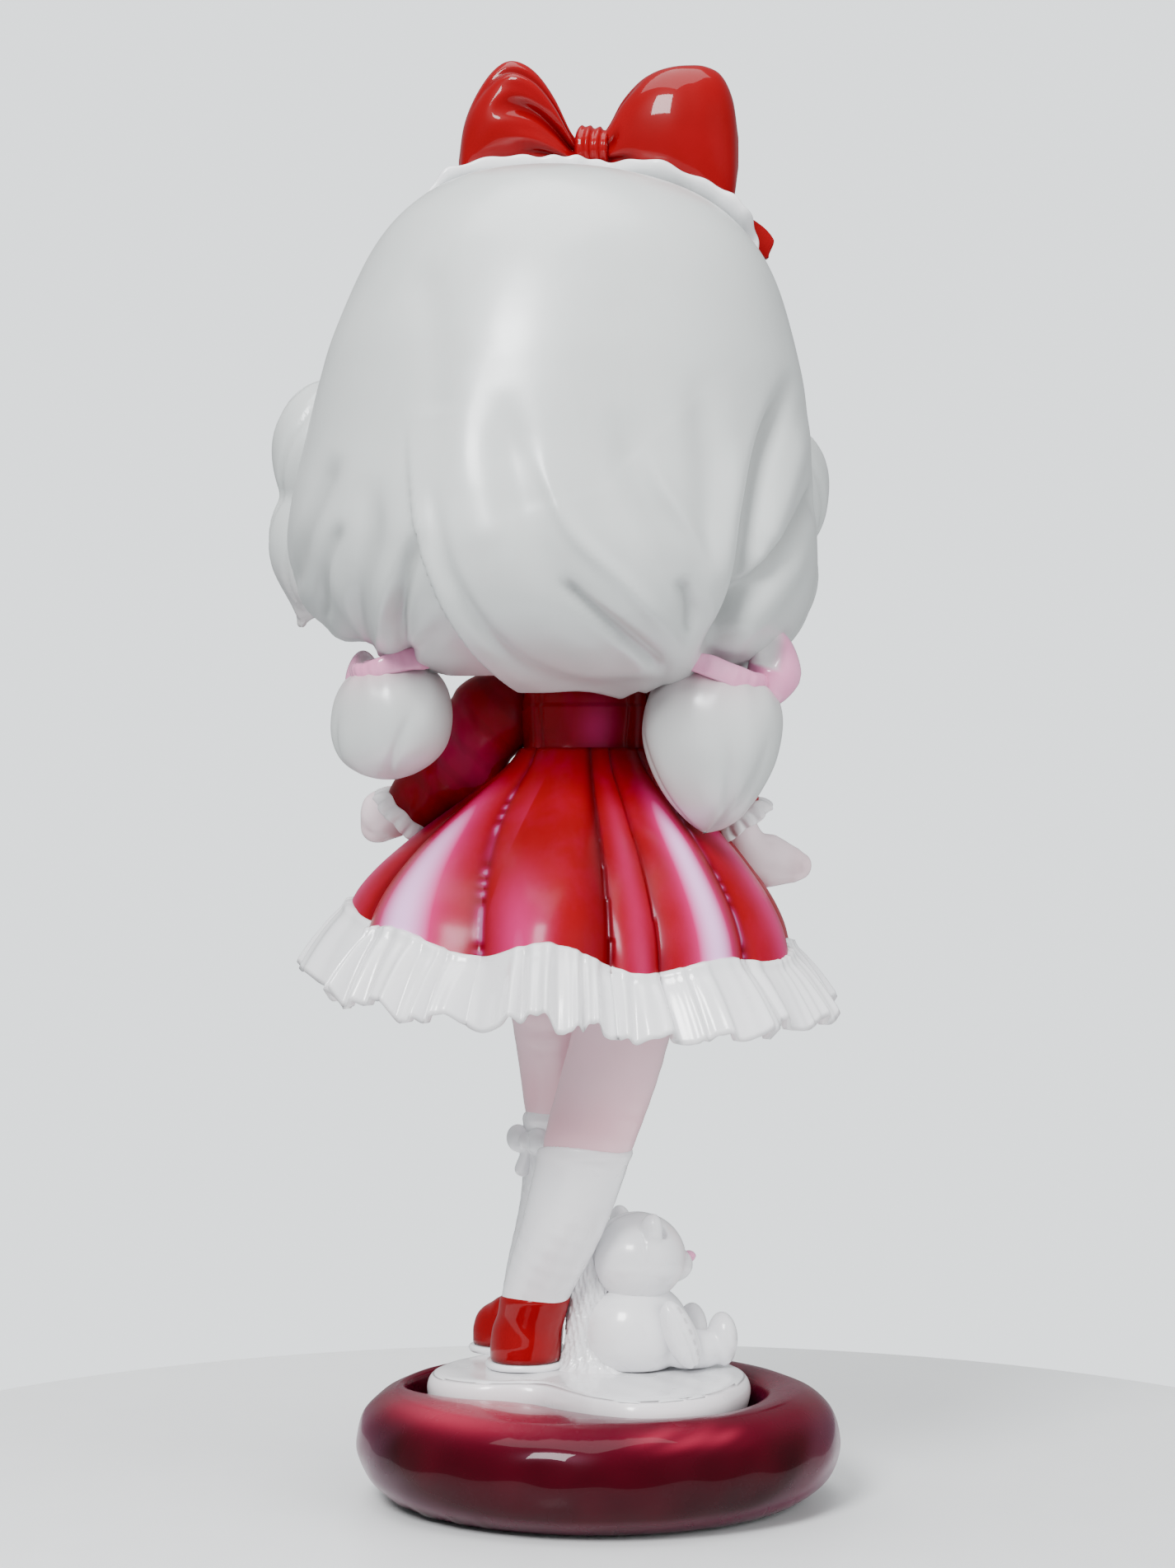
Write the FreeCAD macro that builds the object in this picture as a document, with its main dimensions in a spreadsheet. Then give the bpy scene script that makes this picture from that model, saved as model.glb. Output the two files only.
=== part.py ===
"""Painted vinyl doll figurine in a round dish base, built as an assembly of cast pieces.

Millimetres, +Z up. The doll faces -Y, its right hand is on the -X side, and the origin is the
centre of the base's flat foot. The body pieces are placed in that frame. The head pieces are
made round the head's own centre and carried there by one placement, which also tilts them.
"""

import FreeCAD, Part

import math
import os

import Sketcher

V = FreeCAD.Vector
doc = FreeCAD.newDocument("doll")
sheet = doc.addObject("Spreadsheet::Sheet", "Dims")
cells = {}
subparts = []


# ---------------------------------------------------------------- driving dimensions

def dim(alias, value):
    """One named cell of the sheet. Returns the expression that reads it."""
    cells[f"Dims.{alias}"] = value
    line_number = len(cells)
    sheet.set(f"A{line_number}", alias)
    sheet.set(f"B{line_number}", repr(value))
    sheet.setAlias(f"B{line_number}", alias)
    return f"Dims.{alias}"


def dims(prefix, **values):
    return {key: dim(f"{prefix}_{key}", value) for key, value in values.items()}


def val(cell):
    return cells[cell]


BASE = dims("base", radius=50.6, height=22.8, foot=39.0, waist_z=10.6, crown=44.5,
            recess=38.0, shift=3.0, floor=13.5)
PLINTH = dims("plinth", top=25.5, edge=2.2)
HEAD = dims("head", x=6.2, y=-1.0, z=221.7, tilt=4.5, yaw=8.0, ball=42.5, wall=2.6, ball_drop=7.0)
HAIR = dims("hair", shoulders=31.0, shoulders_z=-47.0, top=54.6, brow=42.5, brow_z=33.5, ear=53.0, ear_z=-7.0, cheek=55.0,
            cheek_z=-28.0, nape=23.0, nape_z=-53.0, split_y=-16.0)
NECK = dims("neck", x=5.2, radius=6.4, gap=0.5, base_z=158.0, top_z=186.0,
            flange=8.2, flange_z=177.2, flange_thick=2.0)
WAIST = dims("waist", x=2.8, y=0.0, z=155.4, half_width=13.0, half_depth=11.5)
SKIRT = dims("skirt", hem_x=5.5, hem_z=117.5, hem_radius=45.5, wall=2.0, folds=9, fold=2.1,
             tilt_x=0.085, tilt_y=-0.115)
FRILL = dims("frill", radius=52.6, drop=11.5, wall=2.6, folds=17, fold=1.3)
PIN = dims("pin", radius=1.4, bury=6.0)
SHOE = dims("shoe", half_width=7.8, half_length=9.7, height=15.5, sole=1.4, welt=0.5)
BEAR = dims("bear", x=-10.2, y=-6.5, turn=25.0, head=9.9, head_z=49.0, body_wide=10.6,
            body_long=11.8, body_high=10.2)
BOW = dims("bow", knot_x=-0.7, knot_y=-5.0, knot_z=59.4, depth=7.6)
BAND = dims("band", proud=2.4, front_y=-9.5, width=8.0, low_z=22.0)

# x, y, z and radius of each round section of a limb, from the top down
LEG_RIGHT = [(-9.5, 0.5, 116.0, 9.6), (-3.8, 5.0, 93.2, 9.8), (2.4, 6.0, 73.5, 9.0)]
SOCK_RIGHT = [(2.4, 6.0, 73.5, 9.3), (7.0, 2.5, 58.0, 8.3), (13.0, -4.2, 42.0, 6.8), (14.8, -6.6, 33.0, 6.2)]
LEG_LEFT = [(11.5, -6.0, 116.0, 9.3), (7.9, -10.5, 92.7, 9.2), (6.7, -13.0, 79.0, 8.6)]
SOCK_LEFT = [(6.7, -13.0, 79.0, 8.9), (8.5, -19.5, 60.0, 7.9), (13.2, -26.4, 43.0, 6.5), (15.0, -28.0, 33.0, 6.1)]


# ---------------------------------------------------------------- helpers

def placed(x=0.0, y=0.0, z=0.0, rotation=None):
    return FreeCAD.Placement(V(x, y, z), rotation or FreeCAD.Rotation())


def turn(axis, angle):
    return FreeCAD.Rotation(V(*axis), angle)


def along(direction):
    """Rotation that carries +Z on to a direction."""
    return FreeCAD.Rotation(V(0, 0, 1), V(*direction))


def bound(kind, name, placement, **sizes):
    """A Part primitive whose sizes are expressions on the sheet."""
    obj = doc.addObject(kind, name)
    for prop, expression in sizes.items():
        obj.setExpression(prop, str(expression))
    obj.Placement = placement
    return obj


def egg(name, half_x, half_y, half_z, placement):
    """A full ellipsoid. FreeCAD's first radius is the one along Z."""
    sizes = dims(name, half_x=half_x, half_y=half_y, half_z=half_z)
    obj = bound("Part::Ellipsoid", name, placement, Radius1=sizes["half_z"], Radius2=sizes["half_x"],
                Radius3=sizes["half_y"])
    obj.Angle1, obj.Angle2, obj.Angle3 = -90, 90, 360
    return obj


def cone(name, radius_1, radius_2, start, end):
    """A straight tapered piece between two points."""
    axis = V(*end) - V(*start)
    sizes = dims(name, start=radius_1, end=radius_2, length=round(axis.Length, 3))
    return bound("Part::Cone", name, FreeCAD.Placement(V(*start), along(axis)), Radius1=sizes["start"],
                 Radius2=sizes["end"], Height=sizes["length"])


def box(name, low, high):
    obj = doc.addObject("Part::Box", name)
    obj.Length, obj.Width, obj.Height = (high[i] - low[i] for i in range(3))
    obj.Placement = placed(*low)
    return obj


def fuse(name, *pieces):
    obj = doc.addObject("Part::MultiFuse", name)
    obj.Shapes = list(pieces)
    return obj


def cut(name, base, *tools):
    """base less each tool, as nested cuts. The last one carries the name."""
    for i, tool in enumerate(tools):
        obj = doc.addObject("Part::Cut", name if i == len(tools) - 1 else f"{name}_cut_{i}")
        obj.Base, obj.Tool = base, tool
        base = obj
    return base


def common(name, *pieces):
    obj = doc.addObject("Part::MultiCommon", name)
    obj.Shapes = list(pieces)
    return obj


def keep(label, obj):
    """Marks an object as a sub-part."""
    obj.Label = label
    subparts.append(obj)
    return obj


def body_with_sketch(name, plane):
    """A PartDesign body with one sketch on one of its own origin planes."""
    body = doc.addObject("PartDesign::Body", name)
    sketch = body.newObject("Sketcher::SketchObject", f"{name}_sketch")
    sketch.AttachmentSupport = [(next(f for f in body.Origin.OriginFeatures if f.Role == plane), "")]
    sketch.MapMode = "FlatFace"
    return body, sketch


def revolved(name, edges):
    """A body turned round +Z from a closed profile in the XZ plane."""
    body, sketch = body_with_sketch(name, "XZ_Plane")
    sketch.addGeometry(edges, False)
    turned = body.newObject("PartDesign::Revolution", f"{name}_turned")
    turned.Profile = sketch
    turned.ReferenceAxis = (sketch, ["V_Axis"])
    turned.Angle = 360
    return body


def line(a, b):
    return Part.LineSegment(V(a[0], a[1], 0), V(b[0], b[1], 0))


def smooth(points):
    curve = Part.BSplineCurve()
    curve.interpolate([V(p[0], p[1], 0) for p in points])
    return curve


def shape_of(label, shape):
    obj = doc.addObject("Part::Feature", label)
    obj.Shape = shape
    return keep(label, obj)


HEAD_PLACE = placed(val(HEAD["x"]), val(HEAD["y"]), val(HEAD["z"]),
                    turn((0, 1, 0), -val(HEAD["tilt"])).multiply(turn((0, 0, 1), val(HEAD["yaw"]))))


def on_head(x=0.0, y=0.0, z=0.0, rotation=None):
    """A place given in the head's own tilted and turned frame."""
    return HEAD_PLACE.multiply(placed(x, y, z, rotation))


def head_box(name, low, high):
    obj = box(name, low, high)
    obj.Placement = on_head(*low)
    return obj


# ---------------------------------------------------------------- base and plinth

def make_base():
    """The round dish: a bulging wall turned from one profile, with a recess off its centre."""
    body, sketch = body_with_sketch("base_body", "XZ_Plane")
    radius, height, foot = val(BASE["radius"]), val(BASE["height"]), val(BASE["foot"])
    waist_z, crown = val(BASE["waist_z"]), val(BASE["crown"])
    sketch.addGeometry([
        line((0, 0), (foot, 0)),
        smooth([(foot, 0), (radius - 4.2, waist_z * 0.36), (radius, waist_z),
                (radius - 1.4, height * 0.74), (crown, height)]),
        line((crown, height), (0, height)),
        line((0, height), (0, 0)),
    ], False)
    turned = body.newObject("PartDesign::Revolution", "base_turned")
    turned.Profile, turned.ReferenceAxis, turned.Angle = sketch, (sketch, ["V_Axis"]), 360
    recess = bound("Part::Cylinder", "recess", placed(), Radius=BASE["recess"], Height=BASE["height"])
    recess.setExpression("Placement.Base.x", BASE["shift"])
    recess.setExpression("Placement.Base.z", BASE["floor"])
    dished = cut("base_dished", body, recess)
    doc.recompute()
    rim = [i for i, e in enumerate(dished.Shape.Edges, 1)
           if abs(e.BoundBox.ZMin - height) < 0.01 and abs(e.BoundBox.ZMax - height) < 0.01]
    rounded = doc.addObject("Part::Fillet", "base_rounded")
    rounded.Base = dished
    rounded.Edges = [(i, 1.6, 1.6) for i in rim]
    keep("base_ring", rounded)


def make_plinth(pins):
    """The free-form white slab that the shoes and the toy bear stand on."""
    outline = [(37, -2), (33, 8), (24, 14), (13, 15.5), (6, 22), (-2, 31), (-11, 33), (-20, 28),
               (-29.5, 15), (-33, 2), (-29, -14), (-18, -28), (-2, -35), (13, -34), (25, -27.5), (34, -15)]
    body, sketch = body_with_sketch("plinth_body", "XY_Plane")
    curve = Part.BSplineCurve()
    curve.interpolate(Points=[V(x, y, 0) for x, y in outline], PeriodicFlag=True)
    sketch.addGeometry(curve, False)
    pad = body.newObject("PartDesign::Pad", "plinth_pad")
    pad.Profile = sketch
    pad.setExpression("Length", f"{PLINTH['top']} - {BASE['floor']}")
    doc.recompute()
    rim = [f"Edge{i}" for i, e in enumerate(pad.Shape.Edges, 1)
           if e.BoundBox.ZMin > val(PLINTH["top"]) - val(BASE["floor"]) - 0.01]
    fillet = body.newObject("PartDesign::Fillet", "plinth_rounded")
    fillet.Base = (pad, rim)
    fillet.setExpression("Radius", PLINTH["edge"])
    body.Tip = fillet
    body.setExpression("Placement.Base.z", BASE["floor"])
    keep("plinth", cut("plinth_drilled", body, *pins))


# ---------------------------------------------------------------- legs, socks and shoes

def limb(name, sections):
    """A round tapered limb lofted through flat circles."""
    rings = []
    for i, (x, y, z, radius) in enumerate(sections):
        rings.append(bound("Part::Circle", f"{name}_ring_{i}", placed(x, y, z), Radius=dim(f"{name}_r{i}", radius)))
    loft = doc.addObject("Part::Loft", name)
    loft.Sections, loft.Solid, loft.Ruled = rings, True, False
    return loft


def ankle_pin(side, sock):
    """The steel pin from the plinth up the middle of the ankle."""
    low, high = V(*sock[3][:3]), V(*sock[2][:3])
    start = low + (low - high) * ((low.z - val(PLINTH["top"]) + val(PIN["bury"])) / (high.z - low.z))
    pin = bound("Part::Cylinder", f"ankle_pin_{side}_rod", FreeCAD.Placement(start, along(high - low)),
                Radius=PIN["radius"], Height=dim(f"pin_{side}_length", round((high - start).Length + 4, 3)))
    return keep(f"ankle_pin_{side}", pin)


def make_leg(side, leg, sock, pin):
    stocking = limb(f"sock_{side}_limb", sock)
    keep(f"leg_{side}", limb(f"leg_{side}_limb", leg))
    keep(f"sock_{side}", cut(f"sock_{side}_drilled", stocking, pin))
    return stocking


def make_shoe(side, centre, heading, stocking, pin):
    """A round-toed shoe over a flat sole. heading turns its toe from -Y."""
    top, sole = val(PLINTH["top"]), val(SHOE["sole"])
    way = turn((0, 0, 1), heading)
    half_width, half_length, height = (val(SHOE[k]) for k in ("half_width", "half_length", "height"))
    upper = egg(f"shoe_{side}_egg", half_width, half_length, height, placed(centre[0], centre[1], top + 1.0, way))
    under = box(f"shoe_{side}_under", (-60, -60, top - 20), (60, 60, top + sole))
    keep(f"shoe_{side}", cut(f"shoe_{side}_body", upper, under, stocking, pin))
    plate = doc.addObject("Part::Ellipse", f"sole_{side}_outline")
    plate.setExpression("MajorRadius", f"{SHOE['half_length']} + {SHOE['welt']}")
    plate.setExpression("MinorRadius", f"{SHOE['half_width']} + {SHOE['welt']}")
    plate.Placement = placed(centre[0], centre[1], top, turn((0, 0, 1), heading + 90))
    slab = doc.addObject("Part::Extrusion", f"sole_{side}_slab")
    slab.Base, slab.Dir, slab.Solid, slab.FaceMakerClass = plate, V(0, 0, 1), True, "Part::FaceMakerSimple"
    slab.setExpression("LengthFwd", SHOE["sole"])
    keep(f"sole_{side}", cut(f"sole_{side}_drilled", slab, pin))


def make_sock_bow(side, at, heading):
    """A small ribbon bow on the front of a sock: two loops and a knot in one casting."""
    stand = placed(*at, turn((0, 0, 1), heading))
    loops = []
    for i, way in enumerate((-1, 1)):
        start, end = (stand.multVec(V(way * out, 0, 0)) for out in (0.6, 6.2))
        loops.append(cone(f"sock_bow_{side}_loop_{i}", 1.2, 2.9, tuple(start), tuple(end)))
    knot = bound("Part::Cylinder", f"sock_bow_{side}_knot", stand.multiply(placed(0, 0, -1.9)),
                 Radius=dim(f"sock_bow_{side}_knot", 1.8), Height=dim(f"sock_bow_{side}_high", 3.8))
    keep(f"sock_bow_{side}", fuse(f"sock_bow_{side}_loops", knot, *loops))


# ---------------------------------------------------------------- dress

def wavy_wire(centre_x, centre_y, z, half_width, half_depth, folds, depth, lean_x, lean_y, phase=0.0):
    """A closed fluted outline in a plane that may lean."""
    points = []
    steps = 8 * int(folds)
    for i in range(steps):
        angle = 2 * math.pi * i / steps
        swell = 1 + depth * math.cos(folds * angle + phase)
        x, y = half_width * swell * math.cos(angle), half_depth * swell * math.sin(angle)
        points.append(V(centre_x + x, centre_y + y, z + lean_x * x + lean_y * y))
    curve = Part.BSplineCurve()
    curve.interpolate(Points=points, PeriodicFlag=True)
    return Part.Wire([curve.toShape()])


def skirt_solid(inset):
    """The bell of the skirt, less an inset all round."""
    waist_z, hem_z = val(WAIST["z"]), val(SKIRT["hem_z"])
    stages = [(0.0, 0.0), (0.22, 0.24), (0.5, 0.56), (0.78, 0.84), (1.0, 1.0)]
    wires = []
    for down, out in stages:
        half_x = val(WAIST["half_width"]) + (val(SKIRT["hem_radius"]) - val(WAIST["half_width"])) * out - inset
        half_y = val(WAIST["half_depth"]) + (val(SKIRT["hem_radius"]) - val(WAIST["half_depth"])) * out - inset
        wires.append(wavy_wire(
            val(WAIST["x"]) + (val(SKIRT["hem_x"]) - val(WAIST["x"])) * down, 0.0,
            waist_z + (hem_z - waist_z) * down, half_x, half_y, val(SKIRT["folds"]),
            val(SKIRT["fold"]) * down / max(half_x, 1.0), val(SKIRT["tilt_x"]) * down, val(SKIRT["tilt_y"]) * down))
    return Part.makeLoft(wires, True, False)


def frill_solid(inset, extra_low=0.0):
    """The ruffle's flared ring, less an inset all round."""
    hem, radius, drop = val(SKIRT["hem_radius"]), val(FRILL["radius"]), val(FRILL["drop"])
    wires = []
    for down, reach in [(-0.12, hem - 1.0), (0.3, hem + 2.6), (0.75, radius), (1.0 + extra_low, radius + 0.4)]:
        size = reach - inset
        wires.append(wavy_wire(val(SKIRT["hem_x"]), 0.0, val(SKIRT["hem_z"]) - drop * down, size, size,
                               val(FRILL["folds"]), val(FRILL["fold"]) * max(down, 0.0) / size,
                               val(SKIRT["tilt_x"]), val(SKIRT["tilt_y"])))
    return Part.makeLoft(wires, True, False)


def make_dress(legs):
    whole = skirt_solid(0.0)
    shell = whole.cut(skirt_solid(val(SKIRT["wall"])))
    waist_plug = Part.makeCylinder(60, val(SKIRT["wall"]), V(0, 0, val(WAIST["z"]) - val(SKIRT["wall"])))
    shape_of("skirt", shell.fuse(whole.common(waist_plug)).removeSplitter())
    ring = frill_solid(0.0).cut(frill_solid(val(FRILL["wall"]), 0.3)).cut(whole)
    shape_of("skirt_frill", max(ring.Solids, key=lambda s: s.Volume))
    plate = frill_solid(val(FRILL["wall"]))
    tilt = FreeCAD.Rotation(V(0, 0, 1), V(-val(SKIRT["tilt_x"]), -val(SKIRT["tilt_y"]), 1))
    slab = Part.makeCylinder(70, 2.0)
    slab.Placement = FreeCAD.Placement(V(val(SKIRT["hem_x"]), 0, val(SKIRT["hem_z"]) - 6.5), tilt)
    plate = plate.common(slab)
    for leg in legs:
        plate = plate.cut(leg.Shape)
    shape_of("skirt_underside", plate.cut(ring))
    room = doc.addObject("Part::Feature", "skirt_room")
    room.Shape = whole

    x, top, peg_z = val(WAIST["x"]), 167.0, val(NECK["base_z"])
    chest = doc.addObject("Part::Loft", "chest")
    rings = []
    for i, (z, half_x, half_y) in enumerate([(val(WAIST["z"]), 12.6, 11.0), (161.0, 13.2, 10.6), (top, 11.0, 8.6)]):
        ring = doc.addObject("Part::Ellipse", f"chest_ring_{i}")
        ring.setExpression("MajorRadius", dim(f"chest_half_width_{i}", half_x))
        ring.setExpression("MinorRadius", dim(f"chest_half_depth_{i}", half_y))
        ring.Placement = placed(x, 0, z)
        rings.append(ring)
    chest.Sections, chest.Solid = rings, True
    peg = bound("Part::Cylinder", "neck_rod", placed(val(NECK["x"]), 0, peg_z), Radius=NECK["radius"])
    peg.setExpression("Height", f"{NECK['top_z']} - {NECK['base_z']}")
    flange = bound("Part::Cylinder", "neck_flange", placed(val(NECK["x"]), 0, val(NECK["flange_z"])),
                   Radius=NECK["flange"], Height=NECK["flange_thick"])
    neck = fuse("neck_fused", peg, flange)
    keep("neck_peg", neck)
    return chest, neck, room


def make_collar(chest, neck):
    """The round collar that sits on the bodice and round the neck."""
    collar = bound("Part::Cone", "collar_cone", placed(val(WAIST["x"]) + 1.6, 0, 165.0),
                   Radius1=dim("collar_low", 9.5), Radius2=dim("collar_high", 7.2), Height=dim("collar_height", 4.4))
    keep("collar", cut("collar_fit", collar, chest, neck))


def make_arm(side, shoulder, wrist, hand, fingers, chest, skirt_room):
    """Sleeve, cuff and hand, with the peg that joins the sleeve to the chest."""
    shoulder_ball = bound("Part::Sphere", f"shoulder_{side}_ball", placed(*shoulder), Radius=dim(f"shoulder_{side}", 6.7))
    sleeve_cone = cone(f"sleeve_{side}_cone", 6.9, 6.2, shoulder, wrist)
    reach = V(*wrist) - V(*shoulder)
    reach.normalize()
    cuff_end = V(*wrist) + reach * 3.4
    cuff = cone(f"cuff_{side}_cone", 6.6, 7.4, wrist, tuple(cuff_end))
    inward = V(chest_x - shoulder[0], 0, -2)
    inward.normalize()
    peg = bound("Part::Cylinder", f"shoulder_peg_{side}_rod", FreeCAD.Placement(V(*shoulder) - inward * 3, along(inward)),
                Radius=dim(f"shoulder_peg_{side}_radius", 2.0), Height=dim(f"shoulder_peg_{side}_length", 9.0))
    keep(f"sleeve_{side}", cut(f"sleeve_{side}_fit", fuse(f"sleeve_{side}_raw", shoulder_ball, sleeve_cone), chest, peg,
                               skirt_room))
    keep(f"cuff_{side}", cut(f"cuff_{side}_fit", cuff, skirt_room))
    keep(f"shoulder_peg_{side}", peg)
    palm = egg(f"palm_{side}", 5.0, 3.6, 6.6, FreeCAD.Placement(V(*hand), along(V(*fingers))))
    thumb_at = V(*hand) + V(0, -1.0, -4.0)
    thumb = egg(f"thumb_{side}", 1.9, 1.9, 4.2, FreeCAD.Placement(thumb_at, along(V(*fingers) * 0.25 + V(0, 0, -0.8))))
    neck_of_hand = cone(f"wrist_{side}", 4.0, 3.6, tuple(V(*wrist) + reach * 2.0), hand)
    keep(f"hand_{side}", cut(f"hand_{side}_fit", fuse(f"hand_{side}_raw", palm, thumb, neck_of_hand),
                             cone(f"cuff_{side}_room", 9.0, 9.0, tuple(V(*wrist) - reach * 9.0), tuple(cuff_end)),
                             skirt_room))
    return peg


# ---------------------------------------------------------------- toy bear

def make_bear(plinth_top):
    """A small seated bear, whose back leans towards the doll's leg."""
    frame = placed(val(BEAR["x"]), val(BEAR["y"]), 0.0, turn((0, 0, 1), 180 + val(BEAR["turn"])))

    def at(x, y, z, rotation=None):
        return frame.multiply(placed(x, y, z, rotation))

    ground = box("bear_ground", (-60, -60, plinth_top - 30), (60, 60, plinth_top))
    torso = egg("bear_torso", 11.8, 10.6, 10.4, at(-0.5, 0, 33.6))
    skull = egg("bear_skull", 9.9, 10.3, 9.5, at(0.2, 0, val(BEAR["head_z"])))
    muzzle = egg("bear_muzzle_egg", 4.2, 4.6, 3.6, at(8.2, 0, 46.6))
    nose = egg("bear_nose_egg", 1.5, 1.9, 1.3, at(12.1, 0, 48.2))
    keep("bear_body", cut("bear_body_fit", torso, ground, skull))
    keep("bear_muzzle", cut("bear_muzzle_fit", muzzle, skull))
    keep("bear_nose", cut("bear_nose_fit", nose, muzzle))
    keep("bear_head", skull)
    for side, hand in ((-1, "right"), (1, "left")):
        ear = egg(f"bear_ear_{hand}_egg", 1.9, 3.0, 3.8, at(-0.6, side * 6.6, 57.4, turn((1, 0, 0), -side * 26)))
        keep(f"bear_ear_{hand}", cut(f"bear_ear_{hand}_fit", ear, skull))
    limbs = []
    for i, side in enumerate((-1, 1)):
        hand = "left" if side > 0 else "right"
        arm = egg(f"bear_arm_egg_{i}", 3.3, 3.2, 7.6, at(4.8, side * 10.6, 33.4, turn((0, 1, 0), -24)))
        leg = fuse(f"bear_leg_raw_{i}",
                   egg(f"bear_thigh_{i}", 8.2, 4.3, 4.2, at(10.2, side * 6.4, 29.4)),
                   egg(f"bear_foot_{i}", 2.9, 4.2, 5.8, at(16.6, side * 7.0, 31.6)))
        keep(f"bear_leg_{hand}", cut(f"bear_leg_fit_{i}", leg, torso, ground))
        keep(f"bear_arm_{hand}", cut(f"bear_arm_fit_{i}", arm, torso, leg, ground, skull))
        limbs += [arm, leg]
    return [torso, skull] + limbs


def make_support(stocking, bear):
    """The cast web that ties the doll's calf and the bear to the plinth."""
    web = cone("support_cone", 5.4, 2.6, (0.6, -6.5, val(PLINTH["top"])), (0.6, -6.5, 56.0))
    keep("leg_support", cut("leg_support_fit", web, stocking, *bear))


# ---------------------------------------------------------------- head

def hair_profile(inset):
    """Radius and height of the hair mass, from the nape up to the crown, less an inset."""
    side, cheek, brow = (val(HAIR[k]) - inset for k in ("ear", "cheek", "brow"))
    return [(val(HAIR["nape"]) - inset, val(HAIR["nape_z"])),
            (cheek * 0.62, -50.3), (cheek * 0.81, -45.2), (cheek * 0.945, -37.8), (cheek, val(HAIR["cheek_z"])),
            (side, val(HAIR["ear_z"])), (side * 0.915, 17.0), (brow, val(HAIR["brow_z"]) - inset * 0.3),
            (brow * 0.835, 43.5 - inset * 0.6), (brow * 0.62, 50.0 - inset * 0.8),
            (brow * 0.32, 53.6 - inset * 0.95), (0.0, val(HAIR["top"]) - inset)]


def hair_body(name, inset):
    """The solid of the hair mass, turned from its profile."""
    points = hair_profile(inset)
    body, sketch = body_with_sketch(name, "XZ_Plane")
    foot, low, top = points[0], (0, points[0][1]), points[-1]
    sketch.addGeometry([smooth(points), line(top, low), line(low, foot)], False)
    turned = body.newObject("PartDesign::Revolution", f"{name}_turned")
    turned.Profile, turned.ReferenceAxis, turned.Angle = sketch, (sketch, ["V_Axis"]), 360
    body.Placement = HEAD_PLACE
    return body


def make_head():
    """Hollow face ball, open at the neck, with eyes and a nose set into it."""
    centre = V(0, -2, -val(HEAD["ball_drop"]))
    ball = bound("Part::Sphere", "ball", on_head(*centre), Radius=HEAD["ball"])
    hollow = bound("Part::Sphere", "ball_hollow", on_head(*centre))
    hollow.setExpression("Radius", f"{HEAD['ball']} - {HEAD['wall']}")
    eyes = []
    for side, hand in ((-1, "right"), (1, "left")):
        way = turn((0, 0, 1), side * 20.5)
        where = centre + way.multVec(V(0, -val(HEAD["ball"]) + 0.9, -5.5))
        eyes.append(egg(f"eye_{hand}_egg", 5.4, 1.6, 6.6, on_head(*where, way)))
    opening = bound("Part::Cylinder", "neck_opening", placed(val(NECK["x"]), 0, 150))
    opening.setExpression("Radius", f"{NECK['radius']} + {NECK['gap']}")
    opening.Height = 40
    keep("head_shell", cut("head_hollow", ball, hollow, opening, *eyes))
    for eye, hand in zip(eyes, ("right", "left")):
        keep(f"eye_{hand}", cut(f"eye_{hand}_fit", eye, hollow))
    return ball, eyes


def make_hair(ball, eyes):
    """Back casting, fringe, two-lobed face locks, and the low bunches with their ties."""
    outer = hair_body("hair_outer", 0.0)
    split = val(HAIR["split_y"])
    shoulders = bound("Part::Cylinder", "shoulder_room", on_head(0, 0, -80), Radius=HAIR["shoulders"])
    shoulders.setExpression("Height", f"80 + {HAIR['shoulders_z']}")
    back = cut("hair_back_fit", outer, head_box("hair_front_space", (-80, -80, -80), (80, split, 80)),
               shoulders, ball)
    keep("hair_back", back)
    fringe = cut("hair_fringe_fit", outer, head_box("fringe_low", (-80, -80, -80), (80, 80, 6)),
                 head_box("fringe_behind", (-80, split, -80), (80, 80, 80)), ball, *eyes)
    keep("hair_fringe", fringe)

    locks = []
    for side, hand in ((-1, "right"), (1, "left")):
        lock = fuse(f"side_lock_{hand}_lobes",
                    egg(f"side_lock_{hand}_upper", 12.0, 11.0, 16.5,
                        on_head(side * 48.5, -23.0, -7.0, turn((0, 1, 0), side * 8))),
                    egg(f"side_lock_{hand}_lower", 11.0, 10.5, 15.5,
                        on_head(side * 48.0, -24.0, -25.0, turn((0, 1, 0), side * -12))))
        fitted = cut(f"side_lock_{hand}_fit", lock, outer, ball)
        keep(f"side_lock_{hand}", fitted)
        locks.append(lock)

    for hand, at, lean, size, neck_z in (("left", (43.0, 14.0, 160.5), 8.0, (12.2, 10.4, 12.6), 8.6),
                                         ("right", (-23.6, 20.0, 157.0), -12.0, (13.8, 11.4, 18.6), 10.8)):
        side = 1 if hand == "left" else -1
        stand = placed(*at, turn((0, 1, 0), -lean))
        reach = size[0] * 0.66 + 1.9
        bunch = egg(f"bunch_{hand}_egg", *size, stand)
        tie = bound("Part::Cylinder", f"tie_{hand}_band", stand.multiply(placed(0, 0, neck_z - 1.9)),
                    Radius=dim(f"tie_{hand}_reach", reach), Height=dim(f"tie_{hand}_high", 9.0))
        above = box(f"bunch_{hand}_over", (-30, -30, 0), (30, 30, 40))
        above.Placement = stand.multiply(placed(-30, -30, neck_z - 1.9))
        keep(f"bunch_{hand}", cut(f"bunch_{hand}_fit", bunch, above))
        keep(f"tie_{hand}", cut(f"tie_{hand}_fit", tie, outer))
        out = reach + (3.4 if hand == "right" else 2.6)
        loop = egg(f"tie_bow_{hand}_egg", 4.6, 4.4, 6.2,
                   stand.multiply(placed(side * out, -1.5 if hand == "right" else -7.0, neck_z + 0.6)))
        keep(f"tie_bow_{hand}", cut(f"tie_bow_{hand}_fit", loop, tie, bunch, outer))
    return outer


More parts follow.
